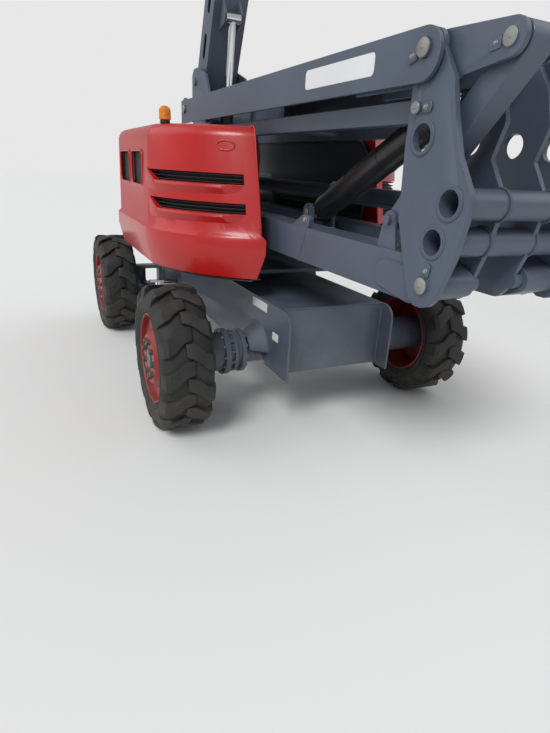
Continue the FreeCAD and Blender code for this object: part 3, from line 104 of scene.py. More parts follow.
class LiftSizes(bpy.types.PropertyGroup):
    """Sizes of the small work that is added to the solids."""

    def length(name, text, size):
        return bpy.props.FloatProperty(
            name=name, description=text, subtype="DISTANCE", unit="LENGTH", default=size)

    weld: length("Weld bead", "Radius of a weld bead", 0.007)
    bolt: length("Ear bolt", "Radius of the heads of the bolts in the arms' ears", 0.014)
    seal: length("Edge seal", "Radius of the rubber seal on a bulkhead's edge", 0.012)
    lug: length("Lug rounding", "Rounding of a tread lug's edges", 0.005)
    pipe: length("Pipe", "Radius of a hydraulic pipe", 0.010)


def colours():
    return bpy.context.scene.lift_colours


def sizes():
    return bpy.context.scene.lift_sizes


def rgba(colour, factor=1.0):
    return (colour[0] * factor, colour[1] * factor, colour[2] * factor, 1.0)


# Shader node groups
def new_group(name, inputs, outputs):
    """An empty node group: inputs are (name, default), and an output is a value, or a normal by its name."""
    group = bpy.data.node_groups.new(name, "ShaderNodeTree")
    for label, default in inputs:
        socket = group.interface.new_socket(name=label, in_out="INPUT", socket_type="NodeSocketFloat")
        socket.default_value = default
    for label in outputs:
        kind = "NodeSocketVector" if label == "Normal" else "NodeSocketFloat"
        group.interface.new_socket(name=label, in_out="OUTPUT", socket_type=kind)
    return group, group.nodes.new("NodeGroupInput").outputs, group.nodes.new("NodeGroupOutput").inputs


def feed(tree, value, socket):
    """Links another node's output to a socket, or sets the socket's own value."""
    if isinstance(value, bpy.types.NodeSocket):
        tree.links.new(value, socket)
    else:
        socket.default_value = value


def fill(tree, sockets, values):
    """Feeds several sockets, by their names or numbers."""
    for label, value in values.items():
        feed(tree, value, sockets[label])


def node(tree, kind, **values):
    """A node with its settings and inputs."""
    made = tree.nodes.new("ShaderNode" + kind)
    for key, value in values.items():
        if key in made.inputs:
            feed(tree, value, made.inputs[key])
        else:
            setattr(made, key, value)
    return made


def math_node(tree, operation, first, second):
    made = node(tree, "Math", operation=operation)
    fill(tree, made.inputs, {0: first, 1: second})
    return made.outputs[0]


def span_node(tree, value, low, high, out_low=0.0, out_high=1.0):
    spans = {"From Min": low, "From Max": high, "To Min": out_low, "To Max": out_high}
    return node(tree, "MapRange", Value=value, **spans).outputs[0]


def place_node(tree):
    return node(tree, "TexCoord").outputs["Object"]


def noise_node(tree, scale, detail, roughness):
    """Noise that is fixed to the object."""
    return node(tree, "TexNoise", Vector=place_node(tree), Scale=scale, Detail=detail,
                Roughness=roughness).outputs[0]


def mix_colour(tree, factor, first, second):
    made = node(tree, "Mix", data_type="RGBA")
    fill(tree, made.inputs, {0: factor, 6: first, 7: second})
    return made.outputs[2]


def grain_group():
    """Fine surface grain and broad colour drift."""
    group, take, give = new_group("lift grain", (("Scale", 200.0), ("Drift Scale", 3.0)), ("Height", "Drift"))
    broad = noise_node(group, take["Drift Scale"], 4.0, 0.55)
    fine = noise_node(group, take["Scale"], 3.0, 0.6)
    fill(group, give, {"Height": fine, "Drift": span_node(group, broad, 0.3, 0.7)})
    return group


def edge_group():
    """Worn edges, where the surface turns sharply, and a normal that rounds them."""
    group, take, give = new_group("lift edges", (("Radius", 0.004), ("Amount", 0.5)), ("Wear", "Normal"))
    rounded = node(group, "Bevel", samples=4, Radius=take["Radius"]).outputs[0]
    surface = node(group, "NewGeometry")
    dot = node(group, "VectorMath", operation="DOT_PRODUCT")
    fill(group, dot.inputs, {0: rounded, 1: surface.outputs["True Normal"]})
    turn = math_node(group, "SUBTRACT", 1.0, dot.outputs["Value"])
    patchy = span_node(group, noise_node(group, 22.0, 6.0, 0.7), 0.50, 0.68)
    worn = math_node(group, "MULTIPLY", span_node(group, turn, 0.05, 0.22), patchy)
    fill(group, give, {"Wear": math_node(group, "MULTIPLY", worn, take["Amount"]), "Normal": rounded})
    return group


def dust_group():
    """Dry dirt, thicker on upward faces and near the ground."""
    group, take, give = new_group("lift dust", (("Upward", 0.5), ("Low", 0.5), ("Height", 1.0)), ("Dust",))
    surface = node(group, "NewGeometry")
    facing = node(group, "SeparateXYZ", Vector=surface.outputs["Normal"])
    where = node(group, "SeparateXYZ", Vector=place_node(group))
    patchy = span_node(group, noise_node(group, 7.0, 8.0, 0.68), 0.36, 0.70)
    upward = math_node(group, "MULTIPLY", span_node(group, facing.outputs["Z"], 0.35, 1.0), take["Upward"])
    near = math_node(group, "DIVIDE", where.outputs["Z"], take["Height"])
    low = math_node(group, "MULTIPLY", span_node(group, near, 1.0, 0.0), take["Low"])
    both = math_node(group, "MAXIMUM", upward, low)
    feed(group, math_node(group, "MULTIPLY", both, patchy), give["Dust"])
    return group


def place_group(tree, name, build, **values):
    """Places a node group, which is built on its first use, with its own values."""
    made = node(tree, "Group", node_tree=bpy.data.node_groups.get(name) or build())
    fill(tree, made.inputs, {label.replace("_", " "): value for label, value in values.items()})
    return made.outputs


# Materials
def new_material(name):
    """An empty material, its node tree and its shader's inputs."""
    material = bpy.data.materials.new(name)
    material.use_nodes = True
    tree = material.node_tree
    return material, tree, tree.nodes["Principled BSDF"].inputs


def finish(name, colour, roughness, metallic=0.0, coat=0.0, grain=200.0, bump=0.0004, drift=0.12, wear=0.0,
           bare=(0.25, 0.25, 0.25), edge=0.004, upward=0.3, low=0.5, height=0.9, spread=0.12):
    """One paint, rubber or metal: colour drift, worn edges, dust and grain around a base colour."""
    if name in bpy.data.materials:
        return bpy.data.materials[name]
    material, tree, shader = new_material(name)
    fill(tree, shader, {"Metallic": metallic, "Coat Weight": coat, "Coat Roughness": 0.06})
    surface = place_group(tree, "lift grain", grain_group, Scale=grain, Drift_Scale=2.3)
    edges = place_group(tree, "lift edges", edge_group, Radius=edge, Amount=wear)
    dust = place_group(tree, "lift dust", dust_group, Upward=upward, Low=low, Height=height)["Dust"]
    base = mix_colour(tree, surface["Drift"], rgba(colour, 1 - drift), rgba(colour, 1 + drift))
    worn = mix_colour(tree, edges["Wear"], base, rgba(bare))
    feed(tree, mix_colour(tree, dust, worn, rgba(colours().dust)), shader["Base Color"])
    smoothest, roughest = max(roughness - spread / 2, 0.03), roughness + spread / 2
    sheen = span_node(tree, surface["Drift"], 0, 1, smoothest, roughest)
    dull = math_node(tree, "MULTIPLY", dust, 0.35)
    feed(tree, math_node(tree, "ADD", sheen, dull), shader["Roughness"])
    relief = node(tree, "Bump", Strength=0.5, Distance=bump, Height=surface["Height"],
                  Normal=edges["Normal"])
    feed(tree, relief.outputs[0], shader["Normal"])
    return material


def steel_paint():
    return finish("steel paint", colours().steel, 0.42, coat=0.12, grain=260, wear=0.35,
                  bare=(0.20, 0.21, 0.23), upward=0.16, low=0.6, height=1.1)


def cover_paint():
    return finish("cover gel coat", colours().cover, 0.32, coat=0.15, grain=55, bump=0.0005, drift=0.06,
                  edge=0.006, upward=0.06, low=0.1, height=1.2, spread=0.06)


def rim_paint():
    return finish("rim paint", colours().rim, 0.42, wear=0.5, bare=(0.09, 0.05, 0.04), upward=0.35, low=0.5,
                  height=1.0)


def tyre_rubber():
    return finish("tyre rubber", colours().rubber, 0.66, grain=420, bump=0.0007, drift=0.25, edge=0.003,
                  wear=0.2, bare=(0.040, 0.039, 0.037), upward=0.22, low=0.32)


def seal_rubber():
    return finish("seal rubber", colours().rubber, 0.6, grain=320, bump=0.0005, upward=0.1, low=0.0)


def bulkhead_paint():
    return finish("bulkhead paint", colours().bulkhead, 0.5, wear=0.25, bare=(0.11, 0.11, 0.12), upward=0.2)


def black_paint():
    return finish("cylinder paint", colours().black, 0.33, coat=0.2, wear=0.3, bare=(0.08, 0.08, 0.085),
                  upward=0.12, low=0.2)


def matte_plastic():
    return finish("matte plastic", colours().black, 0.62, grain=500, bump=0.0006, upward=0.12, low=0.0)


def rod_chrome():
    return finish("rod chrome", (0.72, 0.73, 0.75), 0.09, metallic=1.0, grain=90, bump=0.00005, drift=0.03,
                  upward=0.05, low=0.0, spread=0.04)


def pin_zinc():
    return finish("pin zinc", (0.30, 0.30, 0.29), 0.50, metallic=0.6, grain=300, bump=0.0005, wear=0.3,
                  bare=(0.55, 0.55, 0.54), low=0.3)


def nut_steel():
    return finish("nut steel", (0.10, 0.085, 0.075), 0.55, metallic=0.4, grain=240, bump=0.0006, wear=0.35,
                  bare=(0.28, 0.26, 0.24), upward=0.4, low=0.4)


def weld_steel():
    return finish("weld paint", colours().steel, 0.46, grain=70, bump=0.0022, drift=0.1, upward=0.2)


def plate_film():
    return finish("plate film", colours().plate, 0.38, grain=160, bump=0.0002, drift=0.04, upward=0.1,
                  low=0.25, height=1.2)


def block_grey():
    return finish("block casting", (0.06, 0.062, 0.066), 0.55, grain=120, bump=0.0012, upward=0.4)


def stop_red():
    return finish("stop button", (0.60, 0.02, 0.015), 0.3, upward=0.0, low=0.0)


def deck_steel():
    return finish("deck steel", colours().steel, 0.5, grain=90, bump=0.0015, wear=0.5,
                  bare=(0.32, 0.32, 0.33), low=0.0)


def amber_lens():
    """Clear amber plastic with a slightly uneven surface."""
    material, tree, shader = new_material("amber lens")
    fill(tree, shader, {"Transmission Weight": 0.35, "IOR": 1.49})
    surface = place_group(tree, "lift grain", grain_group, Scale=60.0, Drift_Scale=9.0)
    glow = mix_colour(tree, surface["Drift"], rgba(colours().amber, 0.85), rgba(colours().amber))
    feed(tree, glow, shader["Base Color"])
    feed(tree, span_node(tree, surface["Height"], 0, 1, 0.10, 0.22), shader["Roughness"])
    return material


# Mesh helpers
def rings_to_mesh(bm, rings, closed=False):
    """Faces between rings of equally many points; the ends are capped, or joined where closed."""
    loops = [[bm.verts.new(p) for p in ring] for ring in rings]
    pairs = list(zip(loops, loops[1:]))
    if closed:
        pairs.append((loops[-1], loops[0]))
    else:
        bm.faces.new(list(reversed(loops[0])))
        bm.faces.new(loops[-1])
    for first, second in pairs:
        count = len(first)
        for i in range(count):
            j = (i + 1) % count
            bm.faces.new((first[i], first[j], second[j], second[i]))


def add_prism(bm, outline, y0, y1):
    """A side outline of (x, z) corners, from y0 to y1."""
    rings_to_mesh(bm, [[(x, y, z) for x, z in outline] for y in (y0, y1)])


def add_box(bm, low, high):
    add_prism(bm, [(low[0], low[2]), (high[0], low[2]), (high[0], high[2]), (low[0], high[2])],
              low[1], high[1])


def circle(centre, across, up, radius, count, first=0.0):
    """Points round a circle, from a first angle."""
    return [centre + across * (radius * cos(a)) + up * (radius * sin(a))
            for a in (first + 2 * pi * i / count for i in range(count))]


def square_to(direction):
    """Two unit vectors at right angles to a direction."""
    helper = UP if abs(direction.z) < 0.9 else AHEAD
    across = direction.cross(helper).normalized()
    return across, direction.cross(across).normalized()


def add_turned(bm, start, axis, profile, count=32, closed=False):
    """A form turned from (distance along the axis, radius) pairs; closed joins the last pair to the first."""
    start, axis = Vector(start), Vector(axis).normalized()
    across, up = square_to(axis)
    rings_to_mesh(bm, [circle(start + axis * t, across, up, r, count) for t, r in profile], closed)


def add_sleeve(bm, start, axis, inner, outer, length):
    """A band with a square section round an axis."""
    add_turned(bm, start, axis, [(0, inner), (0, outer), (length, outer), (length, inner)], 48, True)


def add_ring(bm, centre, radius, thickness, count):
    """A bead round a circle in side view."""
    centre = Vector(centre)
    rings = []
    for middle in circle(centre, AHEAD, UP, radius, count):
        rings.append(circle(middle, (middle - centre).normalized(), LEFT, thickness, 8))
    rings_to_mesh(bm, rings, closed=True)


def add_tube(bm, points, radius, sides=10, closed=False):
    """A round bar that follows a list of points."""
    points = [Vector(p) for p in points]
    count = len(points)
    rings, up = [], None
    for i, point in enumerate(points):
        before = points[i - 1] if closed or i else point
        after = points[(i + 1) % count] if closed or i < count - 1 else point
        along = (after - before).normalized()
        if up is None:
            up = square_to(along)[1]
        across = along.cross(up).normalized()
        up = across.cross(along).normalized()
        rings.append(circle(point, across, up, radius, sides))
    rings_to_mesh(bm, rings, closed=closed)


def add_bolt(bm, seat, axis, radius):
    """Washer and hexagon head."""
    axis = Vector(axis).normalized()
    thick = radius * 0.22
    add_turned(bm, seat, axis, [(0, radius * 1.35), (thick, radius * 1.35)], 20)
    head = [(0, radius), (radius * 0.75, radius), (radius * 0.9, radius * 0.82)]
    add_turned(bm, Vector(seat) + axis * thick, axis, head, 6)


def add_bolts(bm, spots, axis, radius):
    """Like bolts at several places."""
    for spot in spots:
        add_bolt(bm, spot, axis, radius)


def arc_points(centre, radius, start, end, count):
    """Points in side view round an arc, in degrees."""
    return [(centre[0] + radius * cos(radians(a)), centre[1] + radius * sin(radians(a)))
            for a in (start + (end - start) * i / (count - 1) for i in range(count))]


def rounded_outline(x0, x1, z0, z1, corner):
    """A rectangle in side view with rounded corners."""
    left, right, low, high = x0 + corner, x1 - corner, z0 + corner, z1 - corner
    spots = ((right, high, 0), (left, high, 90), (left, low, 180), (right, low, 270))
    return [point for x, z, start in spots for point in arc_points((x, z), corner, start, start + 90, 6)]


def piece(name, bm, body, material, bevel=0.0, smooth=40):
    """Turns the mesh into a named object that rides on a body."""
    bmesh.ops.recalc_face_normals(bm, faces=bm.faces)
    mesh = bpy.data.meshes.new(name)
    bm.to_mesh(mesh)
    bm.free()
    made = bpy.data.objects.new(name, mesh)
    bpy.context.scene.collection.objects.link(made)
    mesh.materials.append(material)
    if bevel:
        round_edges(made, bevel)
    mesh.shade_smooth()
    mesh.set_sharp_from_angle(angle=radians(smooth))
    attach(made, body)
    return made


def round_edges(made, width, angle=32):
    modifier = made.modifiers.new("Rounding", "BEVEL")
    modifier.width = width
    modifier.segments = 2
    modifier.limit_method = "ANGLE"
    modifier.angle_limit = radians(angle)
    modifier.use_clamp_overlap = True
    modifier.harden_normals = False


def body_of_node(cad_node):
    for body, members in frame["record"]["behaviour"]["bodies"].items():
        if cad_node in members:
            return body
    raise ValueError("no body holds " + cad_node)


# Sharp corners of the inner plates' lower edge that the grinder takes off: (x, z) before and after
TRIMMED_CORNERS = {"mid_upright": (((2.916, 1.252), (2.848, 1.259)), ((2.871, 1.252), (2.838, 1.264)))}
CORNER_REACH = 0.004          # how near to a corner its points lie
INNER_PLATES_Y = 0.2          # the inner plates stand nearer to the middle than this


def trim_corners(bm, corners):
    """Moves each sharp corner to its trimmed place."""
    for (x, z), trimmed in corners:
        for vertex in bm.verts:
            near = (vertex.co.x - x) ** 2 + (vertex.co.z - z) ** 2 < CORNER_REACH ** 2
            if near and abs(vertex.co.y) < INNER_PLATES_Y:
                vertex.co.x, vertex.co.z = trimmed


def rounded_copy(cad_node, material, width, angle=32):
    """The solid itself with its edges broken, in place of the plain node."""
    bm = bmesh.new()
    bm.from_mesh(frame["nodes"][cad_node].data)
    trim_corners(bm, TRIMMED_CORNERS.get(cad_node, ()))
    bmesh.ops.remove_doubles(bm, verts=bm.verts, dist=0.00002)
    bmesh.ops.dissolve_limit(bm, angle_limit=radians(1.0), verts=bm.verts, edges=bm.edges)
    made = piece("dressed_" + cad_node, bm, body_of_node(cad_node), material)
    round_edges(made, width, angle)
    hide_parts(cad_node)


def dress_node(cad_node, material):
    """Gives a solid that stays as it is its finish."""
    mesh = frame["nodes"][cad_node].data
    mesh.materials.clear()
    mesh.materials.append(material)


# Structure
STEEL_NODES = ("chassis_frame", "turret_frame", "counterweight", "lower_riser", "lower_link", "mid_upright",
               "upper_riser", "upper_link", "timing_link", "upper_upright", "main_boom", "fly_boom",
               "level_knuckle", "jib_arm", "jib_link", "platform_head")
PLAIN_STEEL_NODES = ("axle_fixed", "axle_steer", "knuckle_left", "knuckle_right", "platform_gate")
STEEL_EDGE = 0.004            # width of a broken edge
BLOCK_EDGE = 0.02


class LIFT_OT_steel(bpy.types.Operator):
    """Breaks the edges of the welded structure and paints it"""
    bl_idname = "lift.steel"
    bl_label = "Structure"

    def execute(self, context):
        for name in STEEL_NODES:
            rounded_copy(name, steel_paint(), STEEL_EDGE)
        for name in PLAIN_STEEL_NODES:
            dress_node(name, steel_paint())
        for name in ("engine_block", "tank_block"):
            rounded_copy(name, block_grey(), BLOCK_EDGE)
        for name in ("riser_barrel", "boom_barrel", "jib_barrel"):
            dress_node(name, black_paint())
        for name in ("riser_rod", "boom_rod", "jib_rod", "steer_rod"):
            dress_node(name, rod_chrome())
        return {"FINISHED"}


PLATE_BACKS = (-0.378, -0.140, 0.140, 0.378)    # more faces of the plates, on the two lower tubes
ARM_SEAM_LEAN = 0.040
ARM_BACK = 0.165              # inner face of the arms
PATCH_FACE = ARM_FACE + 0.004
# Arcs round the plate on the arm: x and z from the front pin, radius, first and last angle in degrees
PATCH_ARCS = ((-0.330, -0.006, 0.066, 95, 265), (-0.130, -0.026, 0.076, 265, 455))
PANEL_X = 1.628               # where the chassis' end panels meet its side plates and its top
PANEL_Y = 0.403
PANEL_TOP = 0.899


def patch_outline():
    """Edge of the lens-shaped plate on the arm's face behind the front pin."""
    front = PIN["mid_upright"]
    return [point for x, z, radius, start, end in PATCH_ARCS
            for point in arc_points((front.x + x, front.z + z), radius, start, end, 12)]


class LIFT_OT_welds(bpy.types.Operator):
    """Weld beads round the upright's cross tubes, on the arms and on the chassis"""
    bl_idname = "lift.welds"
    bl_label = "Welds"

    def execute(self, context):
        bead = sizes().weld
        bm = bmesh.new()
        for number, (x, z) in enumerate(CROSS_TUBES):
            for y in (-PLATE_FACE, PLATE_FACE) + (PLATE_BACKS if number else ()):
                add_ring(bm, (x, y, z), CROSS_R + bead * 0.4, bead, 48)
        piece("upright_welds", bm, "mid_upright", weld_steel())
        bm = bmesh.new()
        axis_z = PIN["mid_upright"].z
        for side in (-1, 1):
            corners = [(ARM_SEAM_X + end * ARM_SEAM_LEAN, side * y, axis_z + end * ARM_HALF)
                       for end, y in ((-1, ARM_BACK), (-1, ARM_FACE), (1, ARM_FACE), (1, ARM_BACK))]
            add_tube(bm, corners, bead, closed=True)
            add_tube(bm, [(x, side * PATCH_FACE, z) for x, z in patch_outline()], bead * 0.8, closed=True)
        piece("arm_welds", bm, "lower_riser", weld_steel())
        bm = bmesh.new()
        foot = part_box("chassis_frame")[0].z + 0.02
        for x in (-PANEL_X, PANEL_X):
            for y in (-PANEL_Y, PANEL_Y):
                add_tube(bm, [(x, y, foot), (x, y, PANEL_TOP - 0.01)], bead * 1.2)
            add_tube(bm, [(x, -PANEL_Y, PANEL_TOP), (x, PANEL_Y, PANEL_TOP)], bead)
        piece("chassis_welds", bm, "chassis", weld_steel())
        return {"FINISHED"}


# Pin heads: body, joint, face that they stand on, radius and rise
PIN_HEADS = (
    ("mid_upright", "upper_riser", WALL_FACE + 0.010, 0.036, 0.009),
    ("mid_upright", "mid_upright", 0.415, 0.036, 0.009),
    ("mid_upright", "upper_link", 0.415, 0.025, 0.009),
    ("upper_riser", "timing_link", 0.370, 0.031, 0.004),
    ("upper_upright", "upper_upright", 0.438, 0.036, 0.009),
    ("turret", "riser_lift", 0.423, 0.036, 0.009),
    ("riser_barrel", "riser_barrel", 0.1055, 0.028, 0.006),
)
# Keepers: body, joint, face that they lie on, pin's radius, way out in degrees, thickness, bolt's radius
KEEPERS = (
    ("upper_riser", "upper_riser", WALL_FACE, 0.036, 200, 0.008, 0.009),
    ("mid_upright", "mid_upright", PLATE_FACE, 0.036, 80, 0.008, 0.009),
    ("mid_upright", "upper_link", PLATE_FACE, 0.025, 0, 0.008, 0.009),
    ("upper_riser", "timing_link", 0.365, 0.031, 190, 0.004, 0.007),
)
KEEPER_BOLT = 0.030           # from the pin's rim to the keeper's bolt
KEEPER_OUTLINE = ((-0.022, -0.020), (0.026, -0.020), (0.034, 0.0), (0.026, 0.020), (-0.022, 0.020))


class LIFT_OT_pins(bpy.types.Operator):
    """Pin heads with their keeper plates and bolts"""
    bl_idname = "lift.pins"
    bl_label = "Pins"

    def execute(self, context):
        for number, (body, joint, face, radius, rise) in enumerate(PIN_HEADS):
            bm = bmesh.new()
            head = [(0, radius * 0.98), (rise * 0.6, radius * 0.98), (rise, radius * 0.86)]
            for out in (-LEFT, LEFT):
                spot = Vector((PIN[joint].x, out.y * face, PIN[joint].z))
                add_turned(bm, spot, out, head)
                add_turned(bm, spot + out * rise, out, [(0, 0.006), (rise * 0.6, 0.004)], 12)
            piece("pin_heads_%d" % number, bm, body, pin_zinc())
        for number, keeper in enumerate(KEEPERS):
            self.keeper(number, *keeper)
        return {"FINISHED"}

    def keeper(self, number, body, joint, face, radius, turn, thick, bolt):
        """A plate beside the pin's head on each side of the machine, with its bolt."""
        plates, bolts = bmesh.new(), bmesh.new()
        way = Vector((cos(radians(turn)), 0, sin(radians(turn))))
        cross = Vector((-way.z, 0, way.x))
        for side in (-1, 1):
            centre = Vector((PIN[joint].x, side * face, PIN[joint].z)) + way * (radius + KEEPER_BOLT)
            corners = [centre + way * a + cross * b for a, b in KEEPER_OUTLINE]
            add_prism(plates, [(c.x, c.z) for c in corners], side * face, side * (face + thick))
            add_bolt(bolts, centre + LEFT * (side * thick), LEFT * side, bolt)
        piece("pin_keepers_%d" % number, plates, body, steel_paint(), bevel=0.0015)
        piece("keeper_bolts_%d" % number, bolts, body, pin_zinc())


# Wheels
LUGS = 14                     # on each shoulder of a tyre
LUG_RISE = 0.030
LUG_FACE = 0.0015             # how far the tread face falls toward a lug's edges
# Radius and distance inside the tyre's face, from the bead over the sidewall's ribs
SIDEWALL = ((0.312, 0.040), (0.322, 0.022), (0.345, 0.010), (0.352, 0.004), (0.358, 0.009),
            (0.385, 0.004), (0.392, 0.0), (0.399, 0.003))
# Distance below the tread and inside the tyre's face, over the shoulder
SHOULDER = ((0.052, 0.006), (0.026, 0.020), (0.008, 0.050), (0.0, 0.095))
# Along a lug from its outer end: place across the tyre, turn and width in pitches, lift
LUG_STATIONS = ((1.00, 0.00, 0.50, -0.075), (0.93, 0.00, 0.52, -0.020), (0.78, 0.02, 0.52, 0.0),
                (0.55, 0.10, 0.50, 0.0), (0.36, 0.26, 0.50, 0.0), (0.16, 0.36, 0.48, 0.0),
                (-0.06, 0.40, 0.42, 0.0), (-0.13, 0.42, 0.40, -0.006))


class LIFT_OT_tyres(bpy.types.Operator):
    """Tyres with rounded carcass, sidewall ribs and staggered lugs"""
    bl_idname = "lift.tyres"
    bl_label = "Tyres"

    def execute(self, context):
        for name in WHEELS:
            low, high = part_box("tyre_" + name)
            centre, (_, half, radius) = (low + high) / 2, (high - low) / 2
            bm = bmesh.new()
            self.carcass(bm, centre, radius, half)
            self.lugs(bm, centre, radius, half)
            made = piece("dressed_tyre_" + name, bm, "wheel_" + name, tyre_rubber(), smooth=32)
            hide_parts("tyre_" + name)
        return {"FINISHED"}

    def carcass(self, bm, centre, radius, half):
        """Turned from the bead over a ribbed sidewall and a rounded shoulder to the tread."""
        tread = radius - LUG_RISE
        side = [(half - inside, r) for r, inside in SIDEWALL]
        side += [(half - inside, tread - below) for below, inside in SHOULDER]
        profile = [(-y, r) for y, r in side] + side[::-1]
        add_turned(bm, centre, LEFT, profile, 96, closed=True)

    def lugs(self, bm, centre, radius, half):
        """Each lug bends round the tyre, with its long edge oblique and its outer end over the shoulder."""
        root, pitch, rounding = radius - LUG_RISE - 0.010, 2 * pi / LUGS, sizes().lug
        for shoulder in (-1, 1):
            for i in range(LUGS):
                start = pitch * (i + (0.5 if shoulder > 0 else 0.0))
                rings = []
                for across, skew, width, lift in LUG_STATIONS:
                    y = shoulder * half * 0.985 * across
                    middle, spread = start + pitch * skew, pitch * width / 2
                    top, edge = radius + lift, rounding / radius
                    flank = [(spread - edge, top - LUG_FACE), (spread - edge * 0.3, top - rounding),
                             (spread, root + lift)]
                    section = [(-a, r) for a, r in flank[::-1]] + [(0.0, top)] + flank
                    rings.append([centre + Vector((cos(middle + a) * r, y, sin(middle + a) * r))
                                  for a, r in section])
                rings_to_mesh(bm, rings)


RIM_HALF = 0.150              # from the wheel's middle to the rim's lips
LIP_RADIUS = 0.309
LIP_THICK = 0.0075
DISH_OUT = 0.1635             # from the wheel's middle to the seat of the nuts
NUTS = 9
NUT_CIRCLE = 0.128
NUT_RADIUS = 0.0185


class LIFT_OT_rims(bpy.types.Operator):
    """Rim paint, rim lips and wheel nuts"""
    bl_idname = "lift.rims"
    bl_label = "Rims"

    def execute(self, context):
        for name in WHEELS:
            dress_node("rim_" + name, rim_paint())
            low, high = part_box("tyre_" + name)
            centre = (low + high) / 2
            out = LEFT if centre.y > 0 else -LEFT
            bm = bmesh.new()
            for face in (-RIM_HALF, RIM_HALF):
                add_ring(bm, centre + LEFT * face, LIP_RADIUS, LIP_THICK, 72)
            piece("rim_lips_" + name, bm, "wheel_" + name, rim_paint())
            bm = bmesh.new()
            add_bolts(bm, circle(centre + out * DISH_OUT, AHEAD, UP, NUT_CIRCLE, NUTS), out, NUT_RADIUS)
            piece("wheel_nuts_" + name, bm, "wheel_" + name, nut_steel())
        return {"FINISHED"}


# Covers: louvres by height and outer end, windows by their ends, and the solid's own outline
LOUVRES = ((1.660, 0.560), (1.475, 0.640))
LOUVRE_H = 0.066
LOUVRE_END_Y = 0.560
SLATS = (0.006, 0.030, 0.054)  # above a slot's lower edge
GRIP_AT = (0.86, 1.900)       # along the front's curve, then up
GRIP_HALVES = (0.075, 0.030)
WINDOWS = ((-0.500, -0.060), (0.010, 0.430))
WINDOW_Z = (1.600, 1.850)
COVER_BEAD = 0.007            # radius of the rolled edge and of the hand hold's bead
COVER_FRONT = 1.405
COVER_MID = (1.105, 0.872)
COVER_CORNER = (0.600, 1.090)
COVER_IN = 0.452
COVER_INSET = 0.022
COVER_LEAN = 0.190
COVER_STEP = 1.320
COVER_TOP = 2.050


def cover_lean(z):
    """How far the cover's front stands back at a height."""
    return COVER_LEAN * (z - COVER_STEP) / (COVER_TOP - COVER_INSET - COVER_STEP)


def cover_side():
    """Y of the cover's side face at the windows' middle height."""
    return COVER_CORNER[1] - COVER_INSET - 0.1 * cover_lean(sum(WINDOW_Z) / 2)


def circle_centre(a, b, c):
    """Centre of the circle through three points in plan."""
    d = 2 * (a.x * (b.y - c.y) + b.x * (c.y - a.y) + c.x * (a.y - b.y))
    aa, bb, cc = a.length_squared, b.length_squared, c.length_squared
    return Vector(((aa * (b.y - c.y) + bb * (c.y - a.y) + cc * (a.y - b.y)) / d,
                   (aa * (c.x - b.x) + bb * (a.x - c.x) + cc * (b.x - a.x)) / d))


def cover_front(t, x_start, z):
    """A point on the cover's curved front at a height, from x_start to the inner end, and the way out."""
    lean = cover_lean(z)
    a = Vector((COVER_FRONT - COVER_INSET - lean, COVER_IN + COVER_INSET))
    b = Vector((COVER_MID[0] - 0.75 * COVER_INSET - 0.62 * lean,
                COVER_MID[1] - 0.65 * COVER_INSET - 0.18 * lean))
    c = Vector((COVER_CORNER[0], COVER_CORNER[1] - COVER_INSET - 0.1 * lean))
    centre = circle_centre(a, b, c)
    radius = (a - centre).length
    start = acos(min(1.0, (max(x_start, COVER_CORNER[0]) + 0.012 - centre.x) / radius))
    end = asin((LOUVRE_END_Y - centre.y) / radius)
    angle = start + (end - start) * t
    out = Vector((cos(angle), sin(angle)))
    return centre + out * radius, out


def off_cover(side, t, z, x, section):
    """A section of (rise, distance out) at a place on the cover's front."""
    point, out = cover_front(t, x, z)
    return [Vector((point.x + out.x * d, side * (point.y + out.y * d), z + rise)) for rise, d in section]


